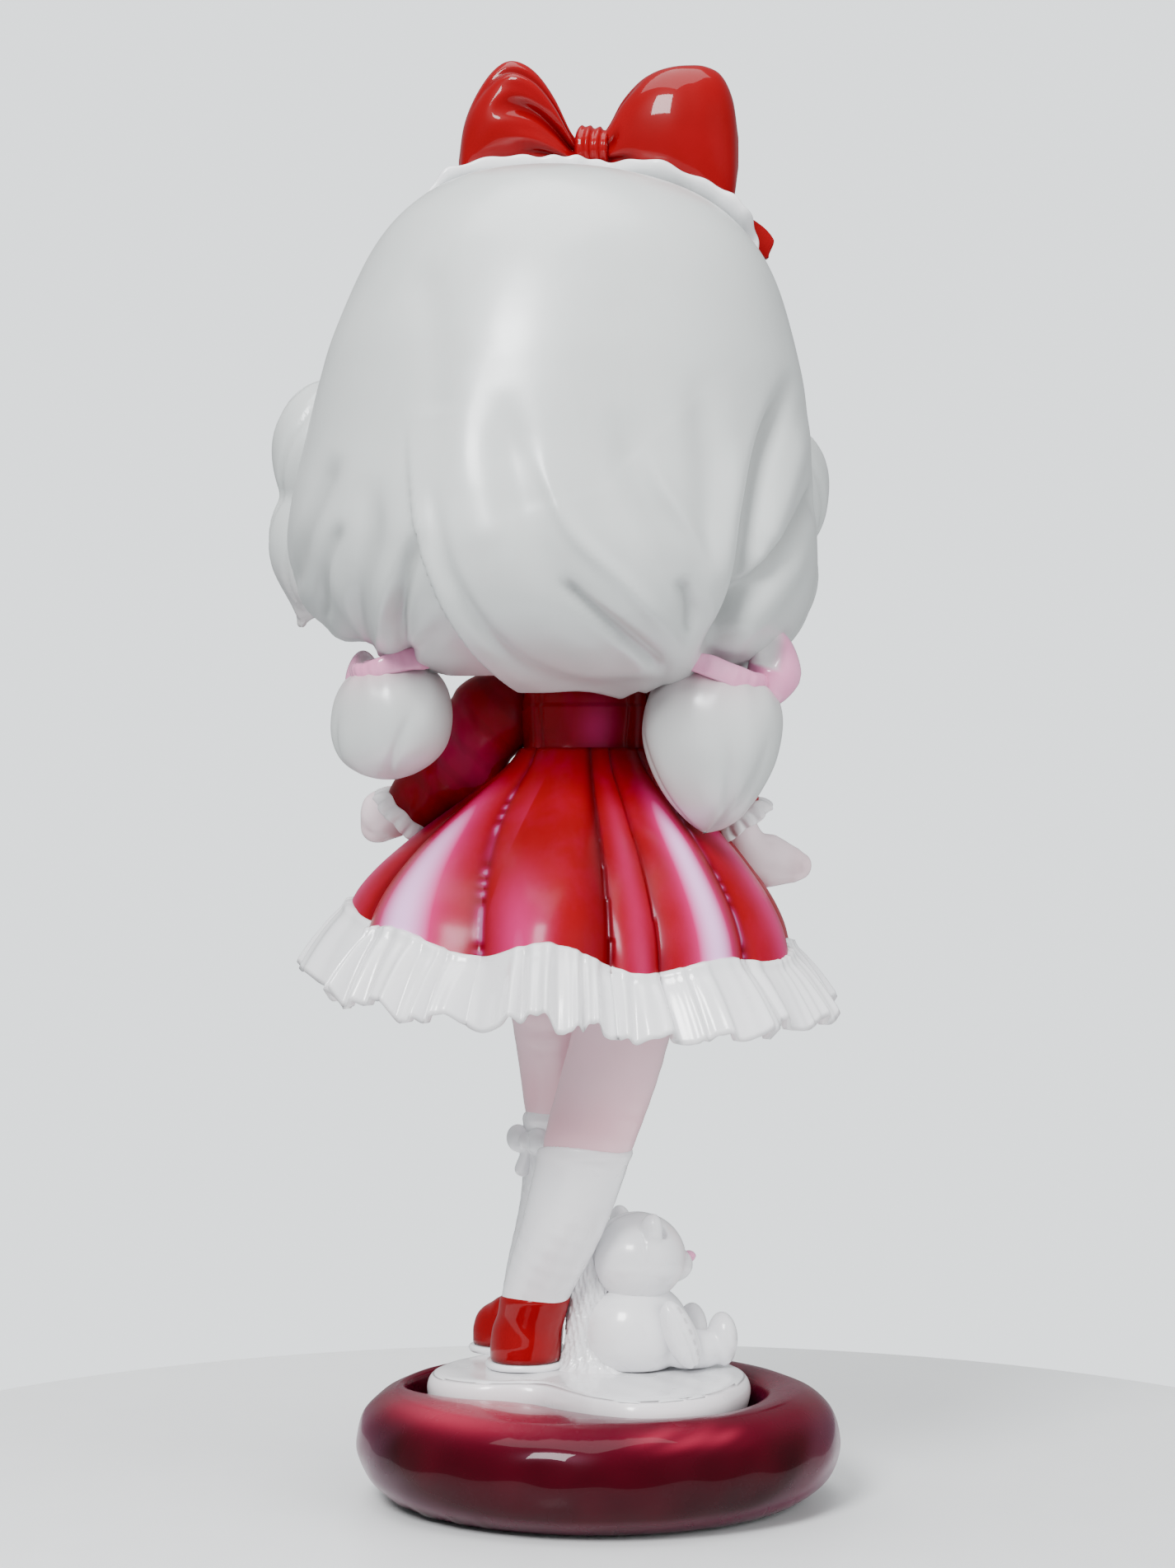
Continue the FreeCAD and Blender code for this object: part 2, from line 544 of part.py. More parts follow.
def make_bow(outer):
    """Raised headband over the crown, with a ribbon bow of two loops, a knot and a tail."""
    cover = hair_body("band_cover", -val(BAND["proud"]))
    front = val(BAND["front_y"])
    strip = head_box("band_strip", (-80, front, val(BAND["low_z"])), (80, front + val(BAND["width"]), 80))
    band_whole = common("band_whole", cover, strip)
    keep("headband", cut("headband_fit", band_whole, outer))

    x, y, z = (val(BOW[f"knot_{k}"]) for k in "xyz")
    knot = egg("bow_knot_egg", 4.3, 5.6, 5.0, on_head(x, y, z))
    keep("bow_knot", cut("bow_knot_fit", knot, cover))
    stations = {"left": [(3.0, 0.4, 3.4), (8.0, 1.8, 7.6), (14.5, 4.0, 12.2), (21.0, 3.4, 12.9), (26.8, 0.8, 9.4)],
                "right": [(3.0, 0.4, 3.4), (9.0, 1.8, 8.2), (17.0, 4.2, 13.4), (24.5, 3.2, 14.4), (30.6, 1.4, 10.4)]}
    loops = {}
    for side, hand in ((-1, "right"), (1, "left")):
        rings = []
        for i, (out, rise, half_high) in enumerate(stations[hand]):
            ring = doc.addObject("Part::Ellipse", f"bow_{hand}_ring_{i}")
            ring.setExpression("MajorRadius", dim(f"bow_{hand}_high_{i}", half_high))
            ring.setExpression("MinorRadius", dim(f"bow_{hand}_deep_{i}", (3.0, 5.6, 7.6, 7.2, 4.2)[i]))
            ring.Placement = on_head(x + side * out, y, z + rise, turn((0, 1, 0), 90))
            rings.append(ring)
        loft = doc.addObject("Part::Loft", f"bow_loop_{hand}_loft")
        loft.Sections, loft.Solid = rings, True
        loops[hand] = loft
        keep(f"bow_loop_{hand}", cut(f"bow_loop_{hand}_fit", loft, knot, cover))
    tail = egg("bow_tail_egg", 4.6, 1.8, 8.2, on_head(-33.0, y - 1.0, 43.0, turn((0, 1, 0), -44)))
    keep("bow_tail", cut("bow_tail_fit", tail, cover, loops["right"]))


# ---------------------------------------------------------------- assembly

make_base()
pins = [ankle_pin("right", SOCK_RIGHT), ankle_pin("left", SOCK_LEFT)]
make_plinth(pins)
stockings = [make_leg("right", LEG_RIGHT, SOCK_RIGHT, pins[0]), make_leg("left", LEG_LEFT, SOCK_LEFT, pins[1])]
make_shoe("right", (15.2, -9.2), -6.0, stockings[0], pins[0])
make_shoe("left", (17.4, -28.2), 72.0, stockings[1], pins[1])
make_sock_bow("left", (18.9, -14.9, 74.0), 66.0)
doc.recompute()
chest_x = val(WAIST["x"])
chest, neck, skirt_room = make_dress([doc.getObject("leg_right_limb"), doc.getObject("leg_left_limb")])
pegs = [make_arm("left", (20.5, -3.0, 163.2), (38.6, -9.0, 144.4), (44.8, -10.4, 139.8), (0.92, -0.1, -0.25),
                 chest, skirt_room),
        make_arm("right", (-15.0, -3.0, 162.6), (-28.6, -5.0, 142.4), (-38.4, -6.0, 131.4), (-0.86, -0.1, -0.30),
                 chest, skirt_room)]
keep("bodice", cut("bodice_fit", chest, neck, *pegs))
make_collar(chest, neck)
bear = make_bear(val(PLINTH["top"]))
make_support(stockings[0], bear[:2])
ball, eyes = make_head()
outer = make_hair(ball, eyes)
make_bow(outer)


# ---------------------------------------------------------------- write

doc.recompute()
failed = [o.Name for o in doc.Objects if "Invalid" in o.State or "Error" in o.State]
if failed:
    raise SystemExit(f"objects that failed: {failed}")
os.makedirs("parts", exist_ok=True)
for old in os.listdir("parts"):
    if old.endswith(".step"):
        os.remove(os.path.join("parts", old))
for obj in subparts:
    shape = obj.Shape
    if shape.isNull() or not shape.isValid() or not shape.Solids:
        raise SystemExit(f"{obj.Label} has no valid solid")
    shape.exportStep(os.path.join("parts", f"{obj.Label}.step"))
    print(f"{obj.Label:20s} {shape.Volume / 1000:8.2f} cm3  {len(shape.Solids)} solid(s)")
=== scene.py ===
"""A painted doll figurine in a dish base: cast pieces with gloss, pearl and candy paints."""

import math

import bpy
import numpy as np
from mathutils import Matrix, Vector


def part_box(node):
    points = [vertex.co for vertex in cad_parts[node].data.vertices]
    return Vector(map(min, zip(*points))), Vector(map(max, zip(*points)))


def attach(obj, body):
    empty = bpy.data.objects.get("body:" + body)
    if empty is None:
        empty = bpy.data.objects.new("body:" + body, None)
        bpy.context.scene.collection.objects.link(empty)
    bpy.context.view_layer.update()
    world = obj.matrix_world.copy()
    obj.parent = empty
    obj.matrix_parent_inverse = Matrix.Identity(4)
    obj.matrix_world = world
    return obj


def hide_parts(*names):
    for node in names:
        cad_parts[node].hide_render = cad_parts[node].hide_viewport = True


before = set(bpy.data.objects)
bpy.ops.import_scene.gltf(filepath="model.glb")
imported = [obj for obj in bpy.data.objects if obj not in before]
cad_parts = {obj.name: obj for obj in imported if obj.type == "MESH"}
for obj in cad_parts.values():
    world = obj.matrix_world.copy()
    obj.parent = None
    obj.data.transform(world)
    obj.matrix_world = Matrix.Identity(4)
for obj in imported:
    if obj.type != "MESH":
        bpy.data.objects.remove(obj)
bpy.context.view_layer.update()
MM = 0.001
RNG = np.random.default_rng(7)


# ---------------------------------------------------------------- places, all from the CAD frame

class Place:
    """The box of one or more CAD nodes, in millimetres."""

    def __init__(self, *nodes):
        boxes = [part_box(n) for n in nodes]
        self.low = np.min([np.array(b[0]) for b in boxes], 0) / MM
        self.high = np.max([np.array(b[1]) for b in boxes], 0) / MM
        self.mid = (self.low + self.high) / 2
        self.half = (self.high - self.low) / 2


def rotation(axis, degrees):
    return np.array(Matrix.Rotation(math.radians(degrees), 3, Vector(axis)))


# ---------------------------------------------------------------- meshes

def add(name, skin, body, slot, paint=None, replaces=None):
    """A painted piece from points in millimetres and faces, with its normals outward.

    paint holds named 0..1 masks, one value per point, or makes them from the points. The piece stands for the CAD
    node of its own name unless replaces lists others.
    """
    points, faces = skin
    masks = paint(points) if callable(paint) else paint or {}
    replaces = replaces or [name]
    mesh = bpy.data.meshes.new(name)
    mesh.from_pydata((np.asarray(points) * MM).tolist(), [], faces if isinstance(faces, list) else faces.tolist())
    mesh.update()
    mesh.calc_loop_triangles()
    corners = np.empty(3 * len(mesh.loop_triangles), np.int32)
    mesh.loop_triangles.foreach_get("vertices", corners)
    a, b, c = np.asarray(points)[corners].reshape(-1, 3, 3).transpose(1, 0, 2)
    signed_volume = np.einsum("ij,ij->", a, np.cross(b, c))
    if signed_volume < 0:
        mesh.flip_normals()
    mesh.polygons.foreach_set("use_smooth", [True] * len(mesh.polygons))
    for mask, values in masks.items():
        layer = mesh.attributes.new(mask, "FLOAT", "POINT")
        layer.data.foreach_set("value", np.clip(values, 0, 1).astype(np.float32))
    mesh.materials.append(LOOKS[slot])
    obj = bpy.data.objects.new(name, mesh)
    bpy.context.scene.collection.objects.link(obj)
    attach(obj, body)
    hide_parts(*replaces)


def full_turn(count):
    """Angles of one turn in equal steps."""
    return np.linspace(0, 2 * math.pi, count, endpoint=False)


def sheet(rows, columns, start=0.0, end=1.0):
    """How far down each row is, and the angle of each column."""
    return np.linspace(start, end, rows)[:, None], full_turn(columns)[None, :]


def hoop(columns, section):
    """The angle round a hoop of each row, and round its section of each column."""
    return full_turn(columns)[:, None], full_turn(section)[None, :]


def spots(x, y, z):
    """Points (..., 3) from three arrays that stretch to one shape."""
    return np.stack(np.broadcast_arrays(x, y, z), -1)


def ring_frame(middle, turn, local):
    """Local points (..., 3) turned and moved to a middle point."""
    return np.asarray(local) @ turn.T + middle


def wrap(angle):
    return (angle + math.pi) % (2 * math.pi) - math.pi


def quads(rows, columns, joined):
    """Quads that join each of the first rows to the next. Columns and rows close on themselves."""
    r, c = np.meshgrid(np.arange(joined), np.arange(columns), indexing="ij")
    down, nxt = (r + 1) % rows, (c + 1) % columns
    corners = [r * columns + c, r * columns + nxt, down * columns + nxt, down * columns + c]
    return np.stack(corners, -1).reshape(-1, 4)


def closed_skin(rings):
    """Points and faces of a closed surface from rings (rows, columns, 3), with both ends drawn to a point."""
    rows, columns, _ = rings.shape
    points = np.concatenate([rings.reshape(-1, 3), rings[:1].mean(1), rings[-1:].mean(1)])
    faces = quads(rows, columns, rows - 1).tolist()
    start, end = rows * columns, rows * columns + 1
    last = (rows - 1) * columns
    for c in range(columns):
        nxt = (c + 1) % columns
        faces.append([start, nxt, c])
        faces.append([end, last + c, last + nxt])
    return points, faces


def loop_skin(rings):
    """Points and faces of a ring-shaped surface: rows close on themselves too."""
    rows, columns, _ = rings.shape
    return rings.reshape(-1, 3), quads(rows, columns, rows)


def add_rings(name, rings, body, slot, skin=closed_skin, **masks):
    """A painted piece from rings (rows, columns, 3) and masks that stretch over the same rows and columns."""
    points, faces = skin(rings)
    spare = (0, len(points) - rings[..., 0].size)
    for mask, values in masks.items():
        masks[mask] = np.pad(np.broadcast_to(values, rings.shape[:2]).ravel(), spare)
    add(name, (points, faces), body, slot, masks)


def carve(field, low, high, step):
    """A smooth closed mesh of the surface where field is 0. It is negative inside.

    The lattice starts a little lower each time until every edge has exactly two faces.
    """
    for shift in range(12):
        points, faces = lattice_mesh(field, np.asarray(low, float) - 0.137 * step * shift, high, step)
        edges = np.sort(np.concatenate([faces[:, [i, (i + 1) % 4]] for i in range(4)]), 1)
        uses = np.unique(edges[:, 0] * len(points) + edges[:, 1], return_counts=True)[1]
        if (uses == 2).all():
            break
    for _ in range(3):
        d = field(points)
        slope = np.stack([field(points + offset) - field(points - offset)
                          for offset in np.eye(3) * 0.05], -1) / 0.1
        move = -slope * (d / np.maximum((slope ** 2).sum(-1), 0.2))[:, None]
        length = np.linalg.norm(move, axis=-1, keepdims=True)
        points = points + move * np.minimum(1, 0.45 * step / np.maximum(length, 1e-9))
    return points, faces


def lattice_mesh(field, low, high, step):
    """Quads around the cells of a lattice that the surface passes through."""
    high = np.asarray(high, float)
    counts = np.ceil((high - low) / step).astype(int) + 1
    axes = [low[i] + step * np.arange(counts[i]) for i in range(3)]
    lattice = np.stack(np.meshgrid(*axes, indexing="ij"), -1)
    value = field(lattice.reshape(-1, 3)).reshape(counts)
    inside = value < 0
    cells = tuple(counts - 1)
    total, count = np.zeros(cells + (3,)), np.zeros(cells)
    corners = [(i, j, k) for i in (0, 1) for j in (0, 1) for k in (0, 1)]

    def part(array, corner):
        return array[tuple(slice(c, c + n) for c, n in zip(corner, cells))]

    for a in corners:
        for axis in range(3):
            if a[axis]:
                continue
            b = tuple(1 if i == axis else a[i] for i in range(3))
            va, vb = part(value, a), part(value, b)
            crossing = part(inside, a) != part(inside, b)
            share = np.where(crossing, va / np.where(va == vb, 1, va - vb), 0)
            where = np.array(a, float) + share[..., None] * (np.array(b) - np.array(a))
            total += np.where(crossing[..., None], where, 0)
            count += crossing
    used = count > 0
    index = -np.ones(cells, int)
    index[used] = np.arange(used.sum())
    base = np.stack(np.nonzero(used), -1)
    points = low + step * (base + total[used] / count[used][:, None])
    faces = []
    for axis in range(3):
        u, v = (axis + 1) % 3, (axis + 2) % 3
        ahead = [slice(None)] * 3
        behind = [slice(None)] * 3
        ahead[axis], behind[axis] = slice(1, None), slice(0, -1)
        change = inside[tuple(behind)] != inside[tuple(ahead)]
        at = np.stack(np.nonzero(change), -1)
        at = at[(at[:, u] > 0) & (at[:, v] > 0) & (at[:, u] < cells[u]) & (at[:, v] < cells[v])]
        outward = inside[tuple(behind)][tuple(at.T)]
        quad = []
        for du, dv in ((-1, -1), (0, -1), (0, 0), (-1, 0)):
            cell = at.copy()
            cell[:, u] += du
            cell[:, v] += dv
            quad.append(index[tuple(cell.T)])
        quad = np.stack(quad, -1)
        quad[~outward] = quad[~outward][:, ::-1]
        faces.append(quad)
    return points, np.concatenate(faces)


# ---------------------------------------------------------------- fields (mm, negative inside)

def egg(p, centre, radii, turn=None):
    """An ellipsoid, with turn holding its own axes in columns."""
    q = p - centre
    if turn is not None:
        q = q @ turn
    radii = np.asarray(radii, float)
    k = np.linalg.norm(q / radii, axis=-1)
    return k * (k - 1) / np.maximum(np.linalg.norm(q / radii ** 2, axis=-1), 1e-9)


def rod(p, a, b, ra, rb):
    """A rod with round ends from a to b, with its radius going from ra to rb."""
    a, b = np.asarray(a, float), np.asarray(b, float)
    way = b - a
    t = np.clip((p - a) @ way / (way @ way), 0, 1)
    return np.linalg.norm(p - a - t[:, None] * way, axis=-1) - (ra + (rb - ra) * t)


def join(a, b, k):
    """Both solids, blended over k millimetres."""
    h = np.clip(0.5 + 0.5 * (b - a) / k, 0, 1)
    return b + (a - b) * h - k * h * (1 - h)


def meet(a, b, k):
    """What is inside both solids, with the edge rounded over k millimetres."""
    return -join(-a, -b, k)


def limb_field(p, stations):
    """A limb through stations, each a point and a radius."""
    d = None
    for (a, ra), (b, rb) in zip(stations[:-1], stations[1:]):
        part = rod(p, a, b, ra, rb)
        d = part if d is None else join(d, part, 0.6)
    return d


def step_up(x, low, high):
    """A soft step from 0 at low to 1 at high."""
    t = np.clip((x - low) / (high - low), 0, 1)
    return t * t * (3 - 2 * t)


def hump(x, at, wide, power=2):
    """1 where x is at the given value, falling off softly. A higher power makes it flatter with steeper sides."""
    return np.exp(-((x - at) / wide) ** power)


def near_curve(u, v, knots):
    """Distance from (u, v) to a smooth curve through knots, how far along its nearest point is, and the side."""
    fine = smooth_line(knots, 14)
    best, along, side = np.full(u.shape, 1e9), np.zeros(u.shape), np.zeros(u.shape)
    for i in range(len(fine) - 1):
        a, w = fine[i], fine[i + 1] - fine[i]
        t = np.clip(((u - a[0]) * w[0] + (v - a[1]) * w[1]) / (w @ w), 0, 1)
        du, dv = u - a[0] - t * w[0], v - a[1] - t * w[1]
        d = np.hypot(du, dv)
        nearer = d < best
        best = np.where(nearer, d, best)
        along = np.where(nearer, (i + t) / (len(fine) - 1), along)
        side = np.where(nearer, np.sign(w[0] * dv - w[1] * du), side)
    return best, along, side


def smooth_line(knots, count):
    """A Catmull-Rom line through knots."""
    knots = np.asarray(knots, float)
    ends = np.concatenate([[2 * knots[0] - knots[1]], knots, [2 * knots[-1] - knots[-2]]])
    out = []
    for i in range(1, len(ends) - 2):
        p0, p1, p2, p3 = ends[i - 1:i + 3]
        for t in np.linspace(0, 1, count, endpoint=False):
            out.append(0.5 * (2 * p1 + (p2 - p0) * t + (2 * p0 - 5 * p1 + 4 * p2 - p3) * t ** 2
                              + (3 * p1 - p0 - 3 * p2 + p3) * t ** 3))
    out.append(knots[-1])
    return np.array(out)


def smooth_values(values, count):
    return smooth_line(np.stack([values, values], 1), count)[:, 0]


# ---------------------------------------------------------------- paints

class Paint:
    """A painted gloss plastic, built from nodes that read places on the object and named masks."""

    def __init__(self, name, colour, rough=0.28, coat=1.0, coat_rough=0.05, metallic=0.0, ior=1.5, tint=None,
                 shine=0.5):
        self.material = bpy.data.materials.new("painted_" + name)
        self.material.use_nodes = True
        self.tree = self.material.node_tree
        self.shader = next(n for n in self.tree.nodes if n.type == "BSDF_PRINCIPLED")
        self.shader.inputs["Metallic"].default_value = metallic
        self.shader.inputs["Coat Weight"].default_value = coat
        self.shader.inputs["Coat Roughness"].default_value = coat_rough
        self.shader.inputs["IOR"].default_value = ior
        self.shader.inputs["Specular IOR Level"].default_value = shine
        if tint:
            self.shader.inputs["Specular Tint"].default_value = (*tint, 1)
        self.place = self.tree.nodes.new("ShaderNodeTexCoord").outputs["Object"]
        self.colour = self.rgb(colour)
        self.rough = rough
        self.height = None

    def rgb(self, colour):
        node = self.tree.nodes.new("ShaderNodeRGB")
        node.outputs[0].default_value = (*colour, 1)
        return node.outputs[0]

    def noise(self, size_mm, detail=2.0, rough=0.5, stretch=(1, 1, 1)):
        move = self.tree.nodes.new("ShaderNodeMapping")
        move.inputs["Scale"].default_value = stretch
        self.tree.links.new(self.place, move.inputs["Vector"])
        node = self.tree.nodes.new("ShaderNodeTexNoise")
        node.inputs["Scale"].default_value = 1000.0 / size_mm
        node.inputs["Detail"].default_value = detail
        node.inputs["Roughness"].default_value = rough
        self.tree.links.new(move.outputs[0], node.inputs["Vector"])
        return node.outputs["Fac"]

    def spread(self, source, low, high, start=0.3, end=0.7):
        node = self.tree.nodes.new("ShaderNodeMapRange")
        for name, value in (("From Min", start), ("From Max", end), ("To Min", low), ("To Max", high)):
            node.inputs[name].default_value = value
        self.tree.links.new(source, node.inputs["Value"])
        return node.outputs[0]

    def mask(self, name):
        node = self.tree.nodes.new("ShaderNodeAttribute")
        node.attribute_name = name
        return node.outputs["Fac"]

    def facing(self, blend):
        node = self.tree.nodes.new("ShaderNodeLayerWeight")
        node.inputs["Blend"].default_value = blend
        return node.outputs["Facing"]

    def over(self, colour, share):
        """Lays another colour over the paint where share is 1."""
        node = self.tree.nodes.new("ShaderNodeMix")
        node.data_type = "RGBA"
        self.tree.links.new(share, node.inputs["Factor"])
        self.tree.links.new(self.colour, node.inputs["A"])
        self.tree.links.new(self.rgb(colour), node.inputs["B"])
        self.colour = node.outputs["Result"]

    def raise_by(self, source, height_mm):
        """Adds a small relief, in millimetres."""
        scaled = self.tree.nodes.new("ShaderNodeMath")
        scaled.operation = "MULTIPLY"
        scaled.inputs[1].default_value = height_mm * MM
        self.tree.links.new(source, scaled.inputs[0])
        if self.height is None:
            self.height = scaled.outputs[0]
        else:
            both = self.tree.nodes.new("ShaderNodeMath")
            self.tree.links.new(self.height, both.inputs[0])
            self.tree.links.new(scaled.outputs[0], both.inputs[1])
            self.height = both.outputs[0]
        return self

    def done(self, rough_vary=0.06):
        links = self.tree.links
        links.new(self.colour, self.shader.inputs["Base Color"])
        links.new(self.spread(self.noise(9, 3), self.rough - rough_vary, self.rough + rough_vary),
                  self.shader.inputs["Roughness"])
        if self.height is not None:
            bump = self.tree.nodes.new("ShaderNodeBump")
            bump.inputs["Distance"].default_value = 1.0
            bump.inputs["Strength"].default_value = 1.0
            links.new(self.height, bump.inputs["Height"])
            links.new(bump.outputs[0], self.shader.inputs["Normal"])
            links.new(bump.outputs[0], self.shader.inputs["Coat Normal"])
        return self.material


def sprayed(paint, ripple=0.05, grit=0.004):
    """The faint waves and specks of hand-sprayed gloss."""
    return paint.raise_by(paint.noise(14, 2), ripple).raise_by(paint.noise(1.6, 2), grit)


def white_paint():
    p = Paint("white_gloss", (0.87, 0.87, 0.885), rough=0.3, coat=0.7, coat_rough=0.12)
    p.over((0.80, 0.81, 0.85), p.spread(p.noise(22, 3), 0, 0.45))
    p.over((0.90, 0.78, 0.81), p.mask("blush"))
    # Grey laid by this mask: mostly painted shade in valleys, under edges and where parts meet; on the bear it
    # also draws its real seams, stitching and eyes.
    p.over((0.52, 0.50, 0.52), p.mask("grime"))
    return sprayed(p, 0.07, 0.006).done()


def hair_paint():
    p = Paint("hair_pearl", (0.595, 0.622, 0.615), rough=0.34, coat=0.35, coat_rough=0.2, ior=1.6,
              tint=(0.93, 0.96, 1.0))
    p.over((0.545, 0.575, 0.572), p.spread(p.noise(34, 3), 0, 0.5))
    p.over((0.68, 0.70, 0.71), p.spread(p.noise(8, 5, 0.7, (1.0, 1.0, 0.22)), 0, 0.22, 0.5, 0.75))
    p.over((0.80, 0.42, 0.52), p.mask("blush"))
    # Painted shade: dark grey in the carved grooves of the hair.
    p.over((0.36, 0.375, 0.37), p.mask("grime"))
    return sprayed(p, 0.05, 0.004).raise_by(p.noise(1.1, 3, 0.6, (1, 1, 0.12)), 0.007).done()


def red_paint():
    p = Paint("bow_red", (0.235, 0.0, 0.003), rough=0.36, coat=0.4, coat_rough=0.05, shine=0.05)
    p.over((0.165, 0.0, 0.001), p.spread(p.noise(20, 3), 0, 0.6))
    # Painted sheen: a slightly bluer red towards grazing edges.
    p.over((0.24, 0.002, 0.02), p.spread(p.facing(0.3), 0, 0.45, 0.45, 1))
    # Painted shade: near-black in the bow's inward folds and along the shoe's foot.
    p.over((0.06, 0.0, 0.001), p.mask("grime"))
    return sprayed(p).done()


def dress_paint():
    p = Paint("dress_pearl", (0.27, 0.0, 0.002), rough=0.36, coat=0.2, coat_rough=0.2,
              tint=(1.0, 0.45, 0.85), shine=0.16)
    p.over((0.20, 0.0, 0.001), p.spread(p.noise(16, 3), 0, 0.6))
    p.over((0.33, 0.001, 0.04), p.spread(p.noise(5, 4, 0.6, (1, 1, 0.35)), 0, 0.4, 0.45, 0.8))
    # Painted highlight: pink, then lilac, on the lit faces of the pleats and sleeves and as glints on the paint
    # beads.
    p.over((0.52, 0.015, 0.14), p.spread(p.mask("pearl"), 0, 1, 0.0, 0.45))
    p.over((0.86, 0.46, 0.84), p.spread(p.mask("pearl"), 0, 1, 0.35, 1.0))
    # Painted shade: near-black in the creases and under overlapping edges.
    p.over((0.075, 0.0, 0.001), p.mask("grime"))
    return sprayed(p, 0.06, 0.006).done()


def skin_paint():
    p = Paint("skin", (0.80, 0.51, 0.575), rough=0.34, coat=0.6, coat_rough=0.1)
    p.over((0.82, 0.57, 0.625), p.spread(p.noise(18, 3), 0, 0.7))
    # Painted light: a paler skin for the hands, as if they stood in brighter light.
    p.over((0.90, 0.79, 0.83), p.mask("pale"))
    p.over((0.84, 0.33, 0.40), p.mask("blush"))
    p.over((0.50, 0.10, 0.12), p.mask("lips"))
    p.over((0.36, 0.20, 0.19), p.mask("brows"))
    return sprayed(p, 0.04, 0.004).done()


def ribbon_paint():
    p = Paint("ribbon_pink", (0.86, 0.29, 0.53), rough=0.28, coat=0.8, coat_rough=0.08)
    p.over((0.88, 0.41, 0.62), p.spread(p.noise(10, 3), 0, 0.8))
    p.over((0.83, 0.82, 0.83), p.mask("white"))
    return sprayed(p, 0.05, 0.006).done()


def base_paint():
    p = Paint("base_lacquer", (0.016, 0.0, 0.001), rough=0.26, coat=0.22, coat_rough=0.015, ior=1.4,
              tint=(1.0, 0.6, 0.9), shine=0.08)
    p.over((0.050, 0.0, 0.004), p.spread(p.noise(30, 2), 0, 0.8, 0.42, 0.62))
    # Painted reflection: a purple tint towards grazing edges, as the lacquer mirrors the pale room.
    p.over((0.14, 0.022, 0.075), p.spread(p.facing(0.30), 0, 0.85, 0.30, 0.9))
    # Painted light: a lighter red band along the rim's top and faintly near its foot.
    p.over((0.080, 0.0, 0.008), p.mask("glow"))
    # Painted reflection: pale pink-red patches on the rim beside the white footing.
    p.over((0.34, 0.02, 0.05), p.mask("thin"))
    # Painted shade at the foot and inside the dish, and darker paint over the drips.
    p.over((0.008, 0.0, 0.001), p.mask("grime"))
    return p.raise_by(p.noise(26, 2), 0.16).raise_by(p.noise(5, 2), 0.015).done(0.04)


def eye_paint():
    p = Paint("eye_brown", (0.83, 0.81, 0.82), rough=0.15, coat=1.0, coat_rough=0.02)
    p.over((0.16, 0.055, 0.035), p.mask("iris"))
    p.over((0.34, 0.15, 0.08), p.mask("glow"))
    p.over((0.012, 0.008, 0.008), p.mask("pupil"))
    p.over((0.92, 0.92, 0.93), p.mask("spark"))
    return sprayed(p, 0.01, 0.001).done(0.03)


def plain_paint(name, colour, metallic=0.0, rough=0.4):
    p = Paint(name, colour, rough=rough, coat=0.0, metallic=metallic)
    p.over(tuple(c * 0.8 for c in colour), p.spread(p.noise(6, 4, 0.6, (1, 1, 0.1)), 0, 1))
    return sprayed(p, 0.01, 0.004).done()


LOOKS = {
    "white_gloss": white_paint(),
    "sole_white": white_paint(),
    "hair_pearl": hair_paint(),
    "bow_red": red_paint(),
    "dress_pearl": dress_paint(),
    "skin": skin_paint(),
    "ribbon_pink": ribbon_paint(),
    "base_lacquer": base_paint(),
    "eye_brown": eye_paint(),
    "pin_steel": plain_paint("pin_steel", (0.55, 0.55, 0.57), 1.0, 0.35),
    "peg_plastic": plain_paint("peg_plastic", (0.80, 0.78, 0.76)),
}


# ---------------------------------------------------------------- head frame

HAIR = Place("hair_back", "hair_fringe")
HEAD_TILT, HEAD_YAW = 4.5, 8.0
HEAD_C = np.array([HAIR.mid[0] - 0.4, HAIR.mid[1] + 0.4, HAIR.high[2] - 54.6])
ROLL = rotation((0, 1, 0), -HEAD_TILT)
HEAD_R = ROLL @ rotation((0, 0, 1), HEAD_YAW)
BALL_R, BALL_C = 42.5, np.array([0.0, -2.0, -7.0])
EYE_AZ, EYE_EL = 20.5, -7.4


def to_head(p):
    return (p - HEAD_C) @ HEAD_R


def from_head(q, turn=HEAD_R):
    return q @ turn.T + HEAD_C


# The hair's outline from behind: x and height from the head's centre, from under the ear to the crown.
PROFILE = smooth_line([(23, -53), (34.1, -50.3), (44.6, -45.2), (52, -37.8), (55, -28), (54.6, -18), (53, -7),
                       (51, 6), (48.5, 17), (42.5, 33.5), (35.5, 43.5), (26.3, 50), (13.6, 53.6), (0, 54.6)], 10)
PROFILE_ANGLE = np.arctan2(PROFILE[:, 0], PROFILE[:, 1])[::-1]
PROFILE_REACH = np.hypot(PROFILE[:, 0], PROFILE[:, 1])[::-1]
HAIR_BOTTOM = 53.0


def directions(rows, columns):
    """The polar angles of a globe of points, and their unit directions."""
    theta, turn = np.broadcast_arrays(*sheet(rows, columns, 0.004, math.pi - 0.004))
    return theta, np.stack([np.sin(theta) * np.sin(turn), np.sin(theta) * np.cos(turn), np.cos(theta)], -1)


def hair_reach(theta):
    """Distance of the smooth hair surface from the head's centre, at each polar angle."""
    reach = np.interp(theta, PROFILE_ANGLE, PROFILE_REACH)
    flat = HAIR_BOTTOM / np.maximum(-np.cos(theta), 1e-6)
    return np.where(theta > PROFILE_ANGLE[-1], flat, reach)


def ball_reach(d, radius):
    """Distance of the face ball from the head's centre along directions in the head's frame."""
    along = d @ BALL_C
    return along + np.sqrt(np.maximum(along ** 2 - BALL_C @ BALL_C + radius ** 2, 0))


def groove(u, v, knots, width, depth, fade=0.25):
    """A soft trough along a curve drawn on the surface. It fades in and out at its ends."""
    d, along, _ = near_curve(u, v, knots)
    ends = step_up(along, 0, fade) * (1 - step_up(along, 1 - fade * 0.4, 1.0) * 0.6)
    return -depth * np.exp(-(d / width) ** 2) * ends


